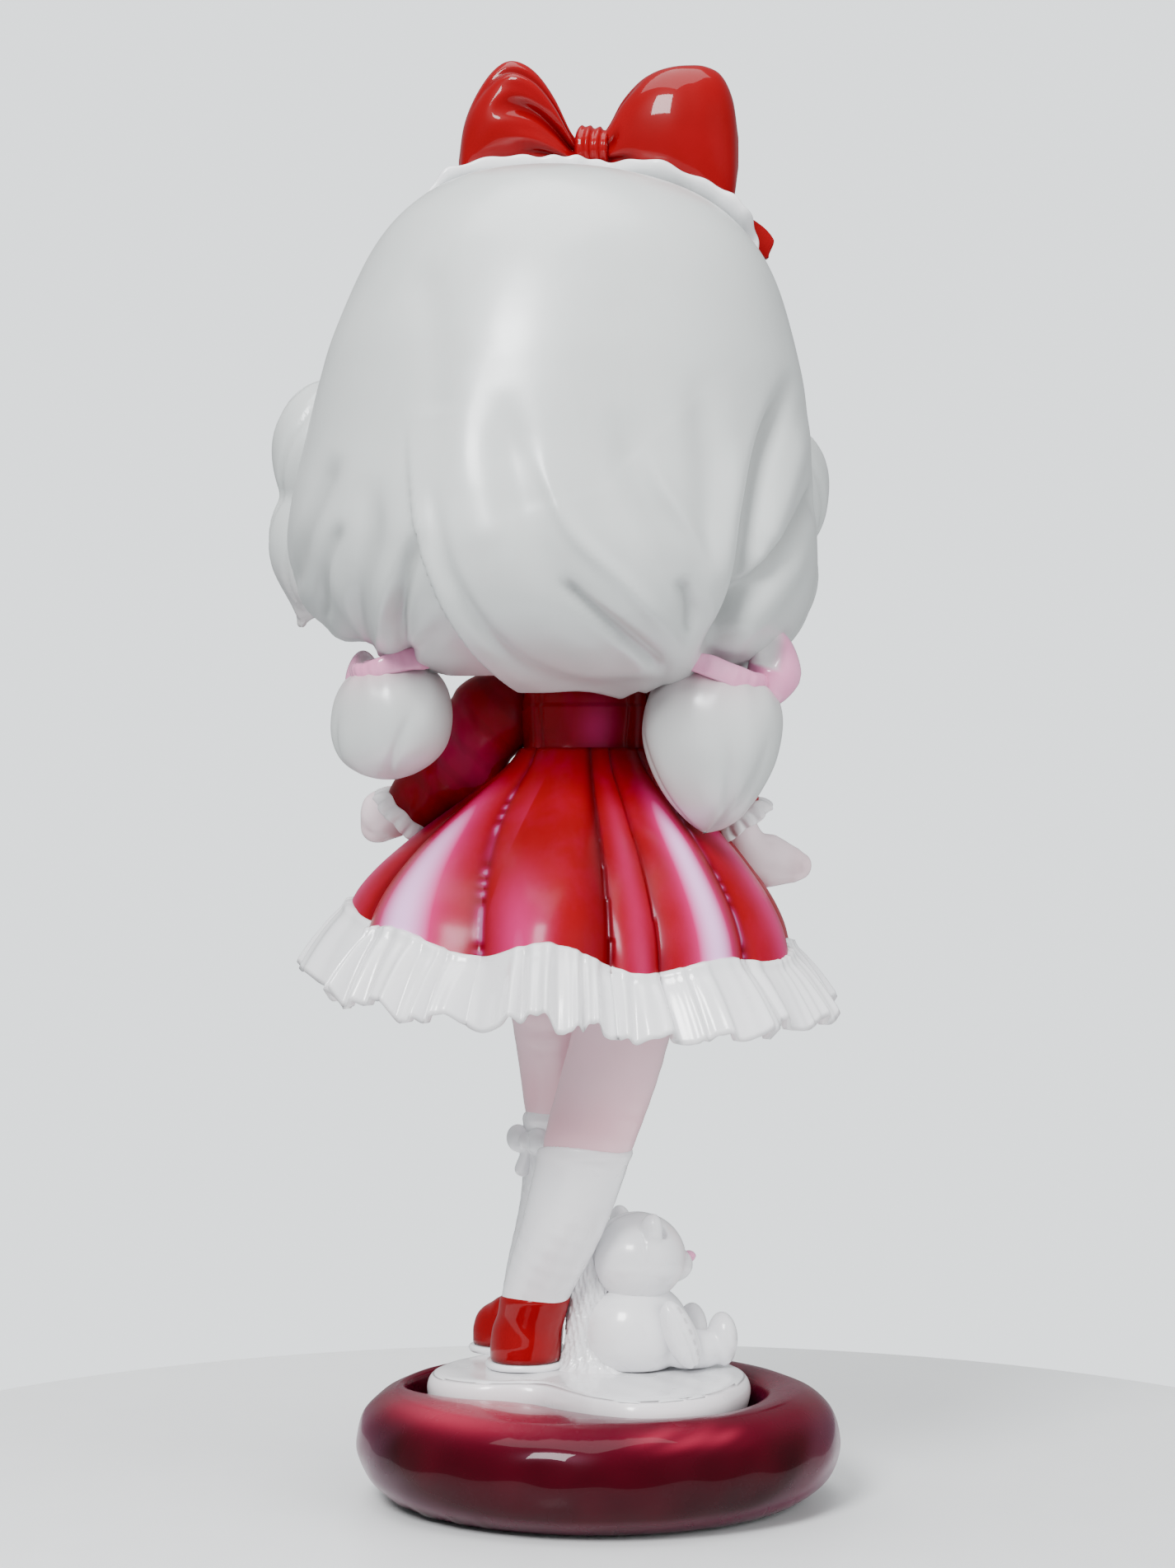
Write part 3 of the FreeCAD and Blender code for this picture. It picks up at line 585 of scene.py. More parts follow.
# Curves on the back of the hair: x towards the doll's left and height, from the head's centre.
OVERLAP = [(31, 6), (29, -10), (26, -26), (22, -35), (17, -43), (10, -50), (1, -54.5), (-9, -55.5), (-20, -52)]
ROLLED_EDGE = [(24, -14), (20, -29), (16, -37), (9, -45), (1, -50), (-10, -52), (-24, -50)]
TROUGHS = [  # curve, width, depth
    ([(25, -25), (28, -36), (28.5, -47), (26, -54)], 1.6, 1.7),
    ([(36, -14), (35, -30), (37, -44), (36, -52)], 2.6, 1.1),
    ([(41, -24), (45, -34), (45.5, -44)], 1.6, 1.3),
    ([(43, -10), (49, -24), (53, -38)], 2.4, 1.2),
    ([(-2, -33), (-8, -38), (-16, -43), (-24, -47.5)], 1.3, 1.6),
    ([(-26, -31), (-28.5, -37), (-28, -42)], 1.3, 1.3),
    ([(-47, 16), (-42, -1), (-39.5, -16), (-38.5, -30), (-35, -46)], 1.8, 2.6),
    ([(-56, -2), (-51, -15), (-44, -27), (-37, -38), (-32, -47)], 1.6, 2.4),
    ([(-10, 2), (-14, -14), (-22, -28), (-29, -42)], 3.8, 0.9),
    ([(12, 4), (8, -12), (3, -26), (-8, -40), (-20, -49)], 4.2, 0.8),
    ([(-26, 12), (-29, -6), (-31, -24), (-32, -44)], 3.6, 0.8),
    ([(30, 30), (26, 14), (24, -4)], 4.0, 0.45),
]
RIDGES = [
    ([(5, -6), (0, -17), (-5, -25), (-15, -33), (-26, -42)], 1.5, 0.9),
    ([(-14, -3), (-21, -14), (-29, -24), (-33, -38)], 1.8, 0.8),
    ([(-36, 0), (-35, -16), (-33, -34)], 2.6, 0.9),
    ([(-50, 8), (-46.5, -8), (-42, -24)], 2.6, 1.6),
    ([(-53, -18), (-47, -30), (-39, -42)], 2.2, 1.0),
    ([(20, 12), (17, -12), (10, -30)], 5.0, 0.5),
    ([(33, -28), (33, -42), (31, -52)], 2.6, 0.8),
]


def hair_relief(u, v, y):
    """Height of the carved strands over the smooth back of the hair."""
    behind = step_up(y, -6, 10)
    relief = np.zeros(u.shape)
    for knots, width, depth in TROUGHS:
        relief += groove(u, v, knots, width, depth * 1.35)
    for knots, width, height in RIDGES:
        relief -= groove(u, v, knots, width, height * 1.15, 0.4)
    d, along, side = near_curve(u, v, OVERLAP)
    crisp = step_up(along, 0.05, 0.45)
    signed = d * -side
    relief += 2.9 * crisp * step_up(signed, -0.6, 0.6) * np.exp(-np.maximum(signed, 0) / 14)
    relief -= 1.5 * crisp * (signed < 0) * np.exp(-d / 3.2)
    relief += groove(u, v, ROLLED_EDGE, 1.3, 1.9, 0.3)
    for tie_u, tie_v, phase in ((-34, -52, 0.4), (34, -54, 1.7)):
        angle = np.arctan2(u - tie_u, v - tie_v)
        away = np.hypot(u - tie_u, v - tie_v)
        own = step_up(-np.sign(tie_u) * (u - 6), -10, 10) if tie_u < 0 else step_up(u - 22, -8, 8)
        pleat = np.cos(11 * angle + away * 0.03 + phase) + 0.6 * np.cos(19 * angle + 2.1 * phase)
        relief += 0.42 * pleat * hump(away, 0, 30) * step_up(away, 2, 9) * own
    return relief * behind


def make_hair_back():
    """The back of the hair, with the face ball's room cut out of its front."""
    theta, d = directions(210, 440)
    in_head = d @ ROLL.T @ HEAD_R
    smooth_reach = hair_reach(theta)
    x, y, z = np.moveaxis(d * smooth_reach[..., None], -1, 0)
    relief = hair_relief(x, z, y)
    relief += 0.5 * np.cos(23 * np.arctan2(x, y) + z * 0.05) * (1 - step_up(y, -6, 14)) * step_up(-z, -20, 10)
    reach = smooth_reach + relief
    under_x, under_y, _ = np.moveaxis(d * reach[..., None], -1, 0)
    shoulders = (1 - step_up(np.abs(under_y + 3), 12, 17)) * (1 - step_up(np.abs(under_x), 40, 44))
    below = (reach - 46.5 / np.maximum(-np.cos(theta), 0.3)).clip(0)
    reach = reach - below * np.maximum(shoulders, step_up(theta, 2.72, 2.86)) * (theta > 2.0)
    hidden = ball_reach(in_head, BALL_R - 3)
    inside = hidden + (smooth_reach - 3.5 - hidden) * step_up(in_head[..., 2] * smooth_reach, 4, 16)
    open_front = 1 - step_up(in_head[..., 1] * smooth_reach, -19, -13)
    reach = reach + (np.minimum(inside, reach) - reach) * open_front
    blush = step_up(-z, 40, 55) * (0.10 + 0.42 * np.clip(-relief, 0, 1)) * hump(x, 8, 30) * step_up(y, 0, 20)
    # Painted shade: the deepest grooves are darkened.
    add_rings("hair_back", from_head(d * reach[..., None], ROLL), "head", "hair_pearl",
              grime=np.clip(-relief - 0.5, 0, 2) * 0.32, blush=blush)


def make_fringe():
    """Bangs in soft clumps that part to the doll's left, over the brow."""
    clump_width = 21.0
    theta, d = directions(190, 420)
    smooth_reach = hair_reach(theta)
    x, y, z = np.moveaxis(d * smooth_reach[..., None], -1, 0)
    bearing = np.degrees(np.arctan2(x, -y))
    clump = (bearing + 4) / clump_width
    tip = 7.5 + 22 * np.abs(clump - np.round(clump)) ** 2.2 - 4.0 * np.cos(np.radians(bearing * 2.2))
    seam = (bearing + 4 + 0.028 * (z - tip) * bearing * 0.6) / clump_width
    split = np.abs(seam - np.floor(seam) - 0.5) * 2
    relief = -1.7 * hump(split, 1, 0.16) * (1 - step_up(z, 2, 40)) - 0.175 * np.cos(6 * math.pi * seam)
    inside = np.maximum(ball_reach(d, BALL_R - 3), 30)
    shown = step_up(z, tip - 1.3, tip + 0.6) * step_up(-y, 12.5, 17.5)
    above = step_up(z, 8, 24)
    tuck = inside * (1 - above) + (smooth_reach - 4.5) * above
    reach = tuck + (smooth_reach + 0.8 + relief - tuck) * shown
    # Painted shade: darker in the splits between the clumps.
    add_rings("hair_fringe", from_head(d * reach[..., None]), "head", "hair_pearl",
              grime=np.clip(-relief - 0.5, 0, 1) * 0.25, blush=(1 - step_up(z, tip, tip + 9)) * 0.3)


# ---------------------------------------------------------------- head parts

def make_side_lock(name, side):
    """A two-lobed curl beside the face."""
    middle = to_head(Place(name).mid)
    upper = middle + np.array([-2.4 * side, 0.7, 9.2])
    lower = middle + np.array([-2.9 * side, -0.3, -9.2])

    def sweep(p):
        x, y, z = (p - upper).T
        return 3.0 * np.arctan2(x * side, y) + 0.13 * z + 0.6

    def field(p):
        d = join(egg(p, upper, (12.0, 11.2, 15.6)), egg(p, lower, (11.6, 10.8, 15.2)), 1.6)
        d = join(d, rod(p, lower + (1 * side, -1, -10), lower + (3 * side, -3.5, -18), 5.0, 1.2), 4)
        x, y, _ = (p - upper).T
        off_axis = 1 - np.exp(-(x ** 2 + y ** 2) / 3.2 ** 2)
        return d + off_axis * (0.65 * hump(np.sin(sweep(p)), 0, 0.26) - 0.2 * np.cos(2 * sweep(p)))

    points, faces = carve(field, middle - (27, 27, 32), middle + 27, 0.85)
    # Painted shade: darker along the curl's grooves.
    add(name, (from_head(points), faces), "head", "hair_pearl",
        {"grime": hump(np.sin(sweep(points)), 0, 0.16) * 0.22,
         "blush": np.clip((lower[2] - 4 - points[:, 2]) / 16, 0, 1) * 0.15})


def make_bunch(name, lean, drift, move, outline, creases):
    """A gathered bunch of hair under its tie, drawn to a soft point."""
    spot = Place(name)
    t, phi = sheet(110, 200)
    share = np.interp(t[:, 0], *smooth_line(outline, 6).T)[:, None]
    gather = 0.28 * np.cos(13 * phi + 1.2 * np.sin(3 * phi)) * np.exp(-t / 0.12)
    relief = gather + 0.45 * np.cos(3 * phi + 2 * t) * np.sin(math.pi * t)
    shade = 0.0
    for start, twist, depth in creases:
        gap = np.abs(wrap(phi - math.radians(start) - math.radians(twist) * t)) * share * 11
        mark = hump(gap, 0, 1.1) * step_up(t, 0.30, 0.75) * (1 - 0.5 * step_up(t, 0.93, 1))
        bulge = hump(gap, 3.6, 2.6) * step_up(t, 0.1, 0.5) * (1 - step_up(t, 0.8, 1))
        relief = relief - depth * mark + 0.3 * depth * bulge
        shade = shade + mark
    x = (spot.half[0] * 0.98 * share + relief) * np.sin(phi)
    y = (spot.half[1] * share + relief) * np.cos(phi)
    z = (1 - 2 * t) * spot.half[2] * 1.10
    rings = spots(x + drift * t ** 2, y, z)
    rings = ring_frame(spot.mid + np.array(move), rotation((0, 1, 0), lean), rings)
    blush = np.exp(-t / 0.12) * 0.75 * (0.6 + 0.4 * np.cos(phi * 2 - 1)) + 0.22 * step_up(t, 0.6, 1)
    # Painted shade: the creases are darkened.
    add_rings(name, rings, "head", "hair_pearl", grime=shade * 0.18, blush=blush)


def make_tie(name, bunch, tilt, reach, height, move):
    """A pinched satin tie round the top of a bunch."""
    spot, below = Place(name), Place(bunch)
    phi, a = hoop(260, 18)
    pinch = 0.14 * np.cos(11 * phi + 2 * np.sin(2 * phi)) + 0.07 * np.cos(31 * phi + 1)
    half_high = height * (1 + 0.16 * np.cos(2 * phi + 1) + 0.04 * np.cos(11 * phi))
    outside, inside = np.maximum(np.cos(a), 0), np.maximum(-np.cos(a), 0)
    radius = reach + 1.15 * np.cos(a) + 0.9 * pinch * outside - 1.6 * inside
    high = half_high * np.sign(np.sin(a)) * np.abs(np.sin(a)) ** 0.7 + 0.25 * np.cos(5 * phi)
    rings = spots(radius * np.sin(phi), radius * np.cos(phi) * below.half[1] / below.half[0], high)
    middle = np.array([spot.mid[0], below.mid[1], spot.mid[2]]) + np.array(move)
    rings = ring_frame(middle, rotation((0, 1, 0), tilt), rings)
    add(name, loop_skin(rings), "head", "ribbon_pink")


def make_tie_bow(name, side, size, move):
    """A small folded loop of ribbon, pink outside and white within."""
    spot = Place(name)
    t, a = sheet(60, 90, 0.02, 0.98)
    swell = np.sin(math.pi * t ** 0.85) ** 0.62
    out = (t - 0.42) * 1.9
    x = side * (out * spot.half[0] * 1.02 * size + 0.6 * np.sin(math.pi * t) * np.cos(a))
    y = spot.half[1] * 0.95 * swell * np.cos(a) * size
    z = spot.half[2] * swell * np.sin(a) * (1.1 - 0.15 * t) * size - 1.0 * t
    fold = 0.5 * np.exp(-((a - 2.0 - 0.6 * t) / 0.16) ** 2) + 0.35 * np.exp(-((a - 4.2 + 0.5 * t) / 0.2) ** 2)
    shrink = 1 - fold * 0.16 * np.sin(math.pi * t)
    rings = spots(x, y * shrink, z * shrink)
    dent = np.exp(-((a - 0.5) / 0.55) ** 2 - ((t - 0.30) / 0.20) ** 2)
    rings = rings - dent[..., None] * np.array([0.8 * side, 1.9, -0.8])
    rings = ring_frame(spot.mid + np.array(move), rotation((0, 1, 0), 12 * side), rings)
    white = np.exp(-((a - 0.1 + 6.28 * (a > 4)) / 1.3) ** 4 - ((t - 0.26) / 0.24) ** 4)
    add_rings(name, rings, "head", "ribbon_pink", white=white)


def make_headband():
    """A frilled band over the crown. Its back edge stands up behind the bow."""
    end_angle = 70
    degrees, a = sheet(420, 26, -end_angle, end_angle)
    angle = np.radians(degrees)
    reach = np.interp(np.abs(angle), PROFILE_ANGLE, PROFILE_REACH)
    ruffle = 0.34 * np.sin(58 * angle + 2 * np.sin(9 * angle)) + 0.28 * np.sin(23 * angle + 1)
    ends = np.minimum(1, np.abs(np.abs(angle) - math.radians(end_angle)) / 0.12) ** 0.5 * 0.8 + 0.2
    half_wide = (4.3 + 0.4 * np.sin(17 * angle)) * ends
    back = np.maximum(np.cos(a), 0)
    turned_out = step_up(degrees, -41, -34) * (1 - step_up(degrees, -15, -3))
    y = -5.4 + half_wide * np.cos(a) + (0.7 * ruffle + 7.0 * turned_out) * back
    flap = 2.2 * np.exp(-((angle + math.radians(38)) / 0.10) ** 2)
    thick = 1.15 + 1.5 * back ** 3 + (ruffle * 0.7 + flap * 0.5) * back ** 2
    shown = step_up(degrees, -46, -39) * (1 - step_up(degrees, 27, 36))
    lift = reach - 0.75 + 1.9 * shown + thick * (0.55 + 0.45 * shown) * np.sin(a) * (0.5 + 0.5 * ends)
    lift = lift + (1.4 + 0.5 * ruffle + 0.9 * turned_out) * back ** 2 * shown
    rings = from_head(spots(lift * np.sin(angle), y, lift * np.cos(angle)))
    # Painted shade in the ruffle's valleys along the back edge.
    add_rings("headband", rings, "head", "white_gloss", grime=np.clip(-ruffle, 0, 1) * back * 0.4)


def make_bow_loop(name, side, stations, depths, folds):
    """One stuffed loop of the big bow. Stations give out, top and bottom from the knot's middle."""
    knot = Place("bow_knot").mid
    fine = smooth_line(stations, 12)
    thick = smooth_values(depths, 12)
    share, a = sheet(len(fine), 180)
    middle = (fine[:, 1] + fine[:, 2])[:, None] / 2
    half = (fine[:, 1] - fine[:, 2])[:, None] / 2
    up, back = np.sin(a), np.cos(a)
    relief = shade = 0.0
    for start, end, width, depth, far in folds:
        line = start + (end - start) * share
        mark = np.exp(-(wrap(a - np.radians(line)) / math.radians(width)) ** 2)
        mark = mark * step_up(share, 0.0, 0.12) * (1 - step_up(share, far * 0.6, far))
        relief = relief + depth * mark
        shade = shade + mark * (depth < 0)
    z = middle + (half + relief * 0.5) * np.sign(up) * np.abs(up) ** 0.92
    y = (thick[:, None] + relief) * np.sign(back) * np.abs(back) ** 0.85
    out = fine[:, :1]
    rings = spots(side * out, y - 0.072 * out * side, z) + knot
    # Painted shade: the inward folds are darkened.
    add_rings(name, rings, "head", "bow_red", grime=shade * 0.5)


def make_bow():
    make_bow_loop("bow_loop_left", 1,
                  [(2.2, 1.6, -2.6), (4.2, 3.6, -2.9), (7.4, 10.2, -2.7), (10.8, 15.2, -2.5), (14.2, 17.9, -2.8),
                   (17.7, 18.5, -3.4), (21.2, 16.2, -4.3), (24.5, 11.4, -5.6), (26.8, 5.6, -7.2),
                   (27.9, -1.5, -6.4)],
                  (2.6, 3.4, 5.2, 6.7, 7.6, 7.8, 7.4, 6.2, 4.4, 1.2),
                  [(60, 42, 9, -1.9, 0.85), (86, 72, 8, 0.9, 0.8), (20, 52, 12, 1.3, 0.75),
                   (-6, 12, 9, -2.0, 0.7), (-40, -22, 9, 0.8, 0.6), (-58, -48, 6, -1.2, 0.5),
                    (128, 118, 9, -1.6, 0.75),
                   (185, 172, 10, -1.6, 0.7)])
    make_bow_loop("bow_loop_right", -1,
                  [(2.2, 3.0, -3.6), (4.0, 5.6, -4.4), (6.6, 10.3, -5.7), (10.1, 14.2, -7.3), (13.5, 16.3, -8.8),
                   (17.0, 17.3, -10.2), (20.5, 17.6, -11.4), (24.0, 17.3, -12.4), (27.4, 15.4, -13.2),
                   (29.8, 10.4, -11.6), (31.0, 2.6, -4.2)],
                  (3.2, 4.2, 5.6, 7.0, 7.9, 8.4, 8.3, 7.8, 6.4, 4.2, 1.2),
                  [(70, 60, 9, -1.0, 0.35), (-40, -32, 9, -1.3, 0.32), (2, 2, 12, -0.8, 0.2),
                   (126, 118, 9, -1.6, 0.75), (186, 174, 10, -1.5, 0.7), (232, 222, 9, -1.0, 0.6)])
    spot = Place("bow_knot")

    def knot(p):
        q = p - spot.mid
        d = egg(q, np.zeros(3), (5.3, 6.0, 5.2))
        d = meet(d, np.abs(q[:, 0]) - 3.6 - 0.012 * q[:, 2] ** 2, 1.4)
        return d + 0.26 * np.cos(3.1 * q[:, 0] + 0.12 * q[:, 2] ** 2) + 0.25 * np.cos(1.3 * q[:, 0] + 1)

    add("bow_knot", carve(knot, spot.mid - 8, spot.mid + 8, 0.32), "head", "bow_red")
    rows = 60
    t, a = sheet(rows, 48, 0.01, 0.99)
    wide = 1.1 + 2.4 * step_up(t, 0, 0.75) - 3.0 * step_up(t, 0.78, 1.0)
    line = smooth_line([(4.2, 5.0), (2.0, 3.0), (0.0, 0.6), (-2.0, -2.2), (-3.6, -5.2)], 15)[:rows]
    slope = np.gradient(line, axis=0)
    slope = slope / np.linalg.norm(slope, axis=1, keepdims=True)
    x = line[:, :1] - slope[:, 1:] * wide * np.cos(a) * 0.9
    z = line[:, 1:] + slope[:, :1] * wide * np.cos(a) * 0.9
    y = 1.2 * np.sin(a) + 0.5 * np.cos(a) ** 2
    add_rings("bow_tail", spots(x, y, z) + Place("bow_tail").mid, "head", "bow_red")


def make_head():
    """The face ball: one closed shell with a hole for the neck. The face is plain and calm."""
    ball = Place("head_shell")
    radius, wall, neck_hole = ball.half[0], 2.6, 6.9
    hole = (Place("neck_peg").mid[0] - ball.mid[0], -ball.mid[1])
    drop = -math.sqrt(radius ** 2 - hole[0] ** 2 - hole[1] ** 2)
    pole = Vector((hole[0], hole[1], drop)).normalized()
    turn = np.array(Vector((0, 0, -1)).rotation_difference(pole).to_matrix())
    outside, inside = 250, 40
    polar = np.concatenate([np.linspace(math.pi - 0.004, math.asin(neck_hole / radius), outside),
                            np.linspace(math.asin(neck_hole / (radius - wall)), math.pi - 0.02, inside)])[:, None]
    lon = full_turn(300)[None, :]
    d = spots(np.sin(polar) * np.sin(lon), np.sin(polar) * np.cos(lon), -np.cos(polar)) @ turn.T
    local = d @ HEAD_R
    az = np.degrees(np.arctan2(local[..., 0], -local[..., 1]))
    el = np.degrees(np.arcsin(np.clip(local[..., 2], -1, 1)))

    def spot(a, e, wide, high, power=2):
        return np.exp(-(np.abs((az - a) / wide) ** power + np.abs((el - e) / high) ** power))

    side = np.abs(az)
    relief = 1.5 * spot(0, -16.0, 3.2, 3.0) + 0.5 * spot(0, -10, 2.6, 6) - 0.25 * spot(0, -18.6, 5, 1.4)
    relief += 1.1 * np.exp(-((side - 30) / 13) ** 2 - ((el + 23) / 9) ** 2)
    relief += 0.8 * spot(0, -33, 9, 5) - 0.45 * spot(0, -29.6, 7, 1.8)
    mouth = -25.2 + 0.0175 * az ** 2
    relief += 0.75 * np.exp(-(az / 4.6) ** 2 - ((el - mouth - 1.25) / 1.1) ** 2)
    relief += 0.85 * np.exp(-(az / 4.0) ** 2 - ((el - mouth + 1.5) / 1.3) ** 2)
    relief -= 0.55 * np.exp(-(az / 6.2) ** 4 - ((el - mouth) / 0.42) ** 2)
    eye_ring = np.sqrt(((side - EYE_AZ) / 8.6) ** 2 + ((el - EYE_EL) / 10.4) ** 2)
    relief -= 1.1 * hump(eye_ring, 0, 0.9, 4)
    upper = step_up(el, EYE_EL - 2, EYE_EL + 4)
    relief += 0.9 * hump(eye_ring, 1.12, 0.10) * upper
    relief += 0.35 * hump(eye_ring, 1.12, 0.12) * (1 - upper)
    lash = hump(eye_ring, 1.10, 0.075) * step_up(el, EYE_EL + 0.5, EYE_EL + 3.5)
    lash += np.exp(-((side - 29.8) / 2.6) ** 2 - ((el - EYE_EL - 3.2 - 0.5 * (side - 29)) / 0.9) ** 2)
    brow = np.exp(-((side - 20) / 7.5) ** 4 - ((el - 8.2 + 0.018 * (side - 20) ** 2) / 0.75) ** 2)
    blush = 0.75 * np.exp(-((side - 31) / 9) ** 2 - ((el + 22) / 6) ** 2) + 0.25 * spot(0, -16.5, 3.5, 3)
    lips = np.exp(-(az / 4.9) ** 4 - ((el - mouth) / 2.2) ** 4)
    shell = np.concatenate([np.full(outside, radius), np.full(inside, radius - wall)])[:, None]
    front = np.concatenate([np.ones(outside), np.zeros(inside)])[:, None]
    add_rings("head_shell", ball.mid + d * (shell + relief * front)[..., None], "head", "skin",
              blush=blush * front, lips=lips * front * 0.9, brows=np.clip(lash + 0.6 * brow, 0, 1) * front)


def make_eye(name, side):
    """A glossy eye with a painted iris, set in the face ball."""
    turn = HEAD_R @ rotation((0, 0, 1), side * EYE_AZ)
    out, across = turn @ [0, -1, 0], turn @ [1, 0, 0]
    high = np.cross(across, -out)
    high = high if high[2] > 0 else -high
    t, a = sheet(70, 110, 0.01, math.pi - 0.01)
    x, z, y = 5.5 * np.sin(t) * np.sin(a), 6.7 * np.sin(t) * np.cos(a), 2.2 * np.cos(t)
    rings = Place(name).mid + x[..., None] * across + z[..., None] * high + (y[..., None] - 0.4) * out
    front = step_up(y, 0, 0.4)
    far = np.hypot(x / 0.9, z + 0.4)
    pupil = np.maximum(1 - step_up(far, 1.9, 2.4), step_up(far, 4.2, 4.4) - step_up(far, 4.6, 4.9))
    glow = np.exp(-(x / 3.0) ** 2 - ((z + 2.9) / 1.5) ** 2) * (1 - step_up(far, 4.1, 4.5))
    spark = np.exp(-((x + 1.7) ** 2 + (z - 1.9) ** 2) ** 2 / 1.2)
    spark = spark + 0.7 * np.exp(-((x - 1.8) ** 2 + (z + 2.6) ** 2) ** 2 / 0.1)
    add_rings(name, rings, "head", "eye_brown",
              iris=(1 - step_up(far, 4.4, 4.8)) * front, glow=0.85 * glow * front, pupil=pupil * front,
              spark=spark * front)


# ---------------------------------------------------------------- dress

SKIRT, WAIST, FRILL = Place("skirt"), Place("bodice"), Place("skirt_frill")
HEM_C = np.array([SKIRT.mid[0] - 1.1, 0.0])
WAIST_C = np.array([WAIST.mid[0], 0.0])
HEM_Z = FRILL.mid[2] + 5.6
HEM_R = 45.2
CREASES = np.radians([-284, -250, -215, -182, -150, -118, -86, -53.8, -23.4, -10.6, 24.7])


def hem_tilt(psi):
    return HEM_R * (0.085 * np.sin(psi) - 0.115 * np.cos(psi))


def hem_wave(psi):
    deg = np.degrees(wrap(psi))
    wave = 1.5 * np.cos(8 * (psi - math.radians(4)))
    return wave + 2.0 * hump(deg, 6, 13) + 1.2 * hump(deg, -62, 12)


def lobes(psi):
    """How far from one crease to the next psi is, from 0 to 1, with the width between them in degrees."""
    start = CREASES[0]
    p = start + (psi - start) % (2 * math.pi)
    edges = np.append(CREASES, start + 2 * math.pi)
    index = np.clip(np.searchsorted(edges, p, side="right") - 1, 0, len(edges) - 2)
    width = edges[index + 1] - edges[index]
    share = (p - edges[index]) / width
    return share, np.degrees(width)


def skirt_surface(psi, t):
    """A point on the skirt's outside, t from 0 at the waist to 1 at the hem, and where it is between creases."""
    deg = np.degrees(wrap(psi))
    swing = math.radians(24) * (1 - t) ** 1.3 * hump(deg, 45, 42)
    share, width = lobes(psi - swing)
    crest = np.sin(math.pi * share) ** 0.72
    deep = (0.5 + 3.9 * t ** 1.15) * np.clip(width / 34, 0.5, 1.12)
    bell = np.interp(t, *smooth_line([(0, 0), (0.12, 0.10), (0.30, 0.34), (0.50, 0.60), (0.70, 0.815),
                                      (0.86, 0.94), (1, 1)], 8).T)
    round_x, round_y = 13.4 + (HEM_R - 13.4) * bell, 11.8 + (HEM_R - 11.8) * bell
    centre = WAIST_C + (HEM_C - WAIST_C) * t[..., None]
    pull = (crest - 0.62) * deep
    x = centre[..., 0] + (round_x + pull) * np.sin(psi)
    y = centre[..., 1] + (round_y + pull) * np.cos(psi)
    z = SKIRT.high[2] + 0.6 + (HEM_Z - SKIRT.high[2] - 0.6) * t + (hem_tilt(psi) + hem_wave(psi)) * t ** 1.5
    return np.stack([x, y, z], -1), share


def make_skirt():
    """The pleated pearl skirt, with beads of paint along some creases."""
    t, psi = sheet(84, 560)
    t, psi = np.broadcast_arrays(t ** 0.9, psi)
    outer, share = skirt_surface(psi, t)
    ridge = np.minimum(share, 1 - share) * 40
    deg = np.degrees(wrap(psi))
    beads = 0.30 * hump(ridge, 0, 1.1) * (0.5 + 0.5 * np.sin(70 * t + 4 * np.sin(19 * t)))
    beaded = (deg > 12) & (deg < 62) | (deg < -44) & (deg > -64)
    beads = beads * beaded * step_up(t, 0.05, 0.1)
    out = outer - np.array([HEM_C[0], 0, 0])
    out[..., 2] = 0
    out = out / np.linalg.norm(out, axis=-1, keepdims=True)
    outer = outer + out * beads[..., None]
    thick = 1.7
    inner = (outer - out * thick)[::-1]
    inner[..., 2] -= 0.4
    low = (outer[-1] + inner[0]) / 2
    low[:, 2] -= 0.2
    rings = np.concatenate([outer, low[None], inner])
    # Painted highlight: lilac and pink where the lamps light the pleats' faces, with glints on the paint beads.
    middle = (np.abs(deg - 7) < 17.6) * 1.0
    lit = np.exp(-((share - 0.46 - 0.20 * middle) / (0.20 - 0.03 * middle)) ** 2)
    lit = lit * (step_up(t, 0.10, 0.50) * (1 - middle) + step_up(t, 0.45, 0.95) * middle)
    sky = 0.42 + 0.8 * hump(deg, 46, 17) + 0.8 * hump(deg, -37, 11)
    sky = sky - 0.25 * hump(deg, -17, 6) + 0.5 * hump(np.abs(deg), 148, 16)
    pearl = np.clip(lit * sky * 0.85 + beads * 2.6, 0, 1)
    # Painted shade: dark in the creases and on a narrow strip near the front.
    dark = hump(ridge, 0, 2.6) * 0.6 + 0.45 * hump(deg, -6, 5)
    within = ((0, len(rings) - len(outer)), (0, 0))
    add_rings("skirt", rings, "figure", "dress_pearl", loop_skin, pearl=np.pad(pearl, within),
              grime=np.pad(dark, within))


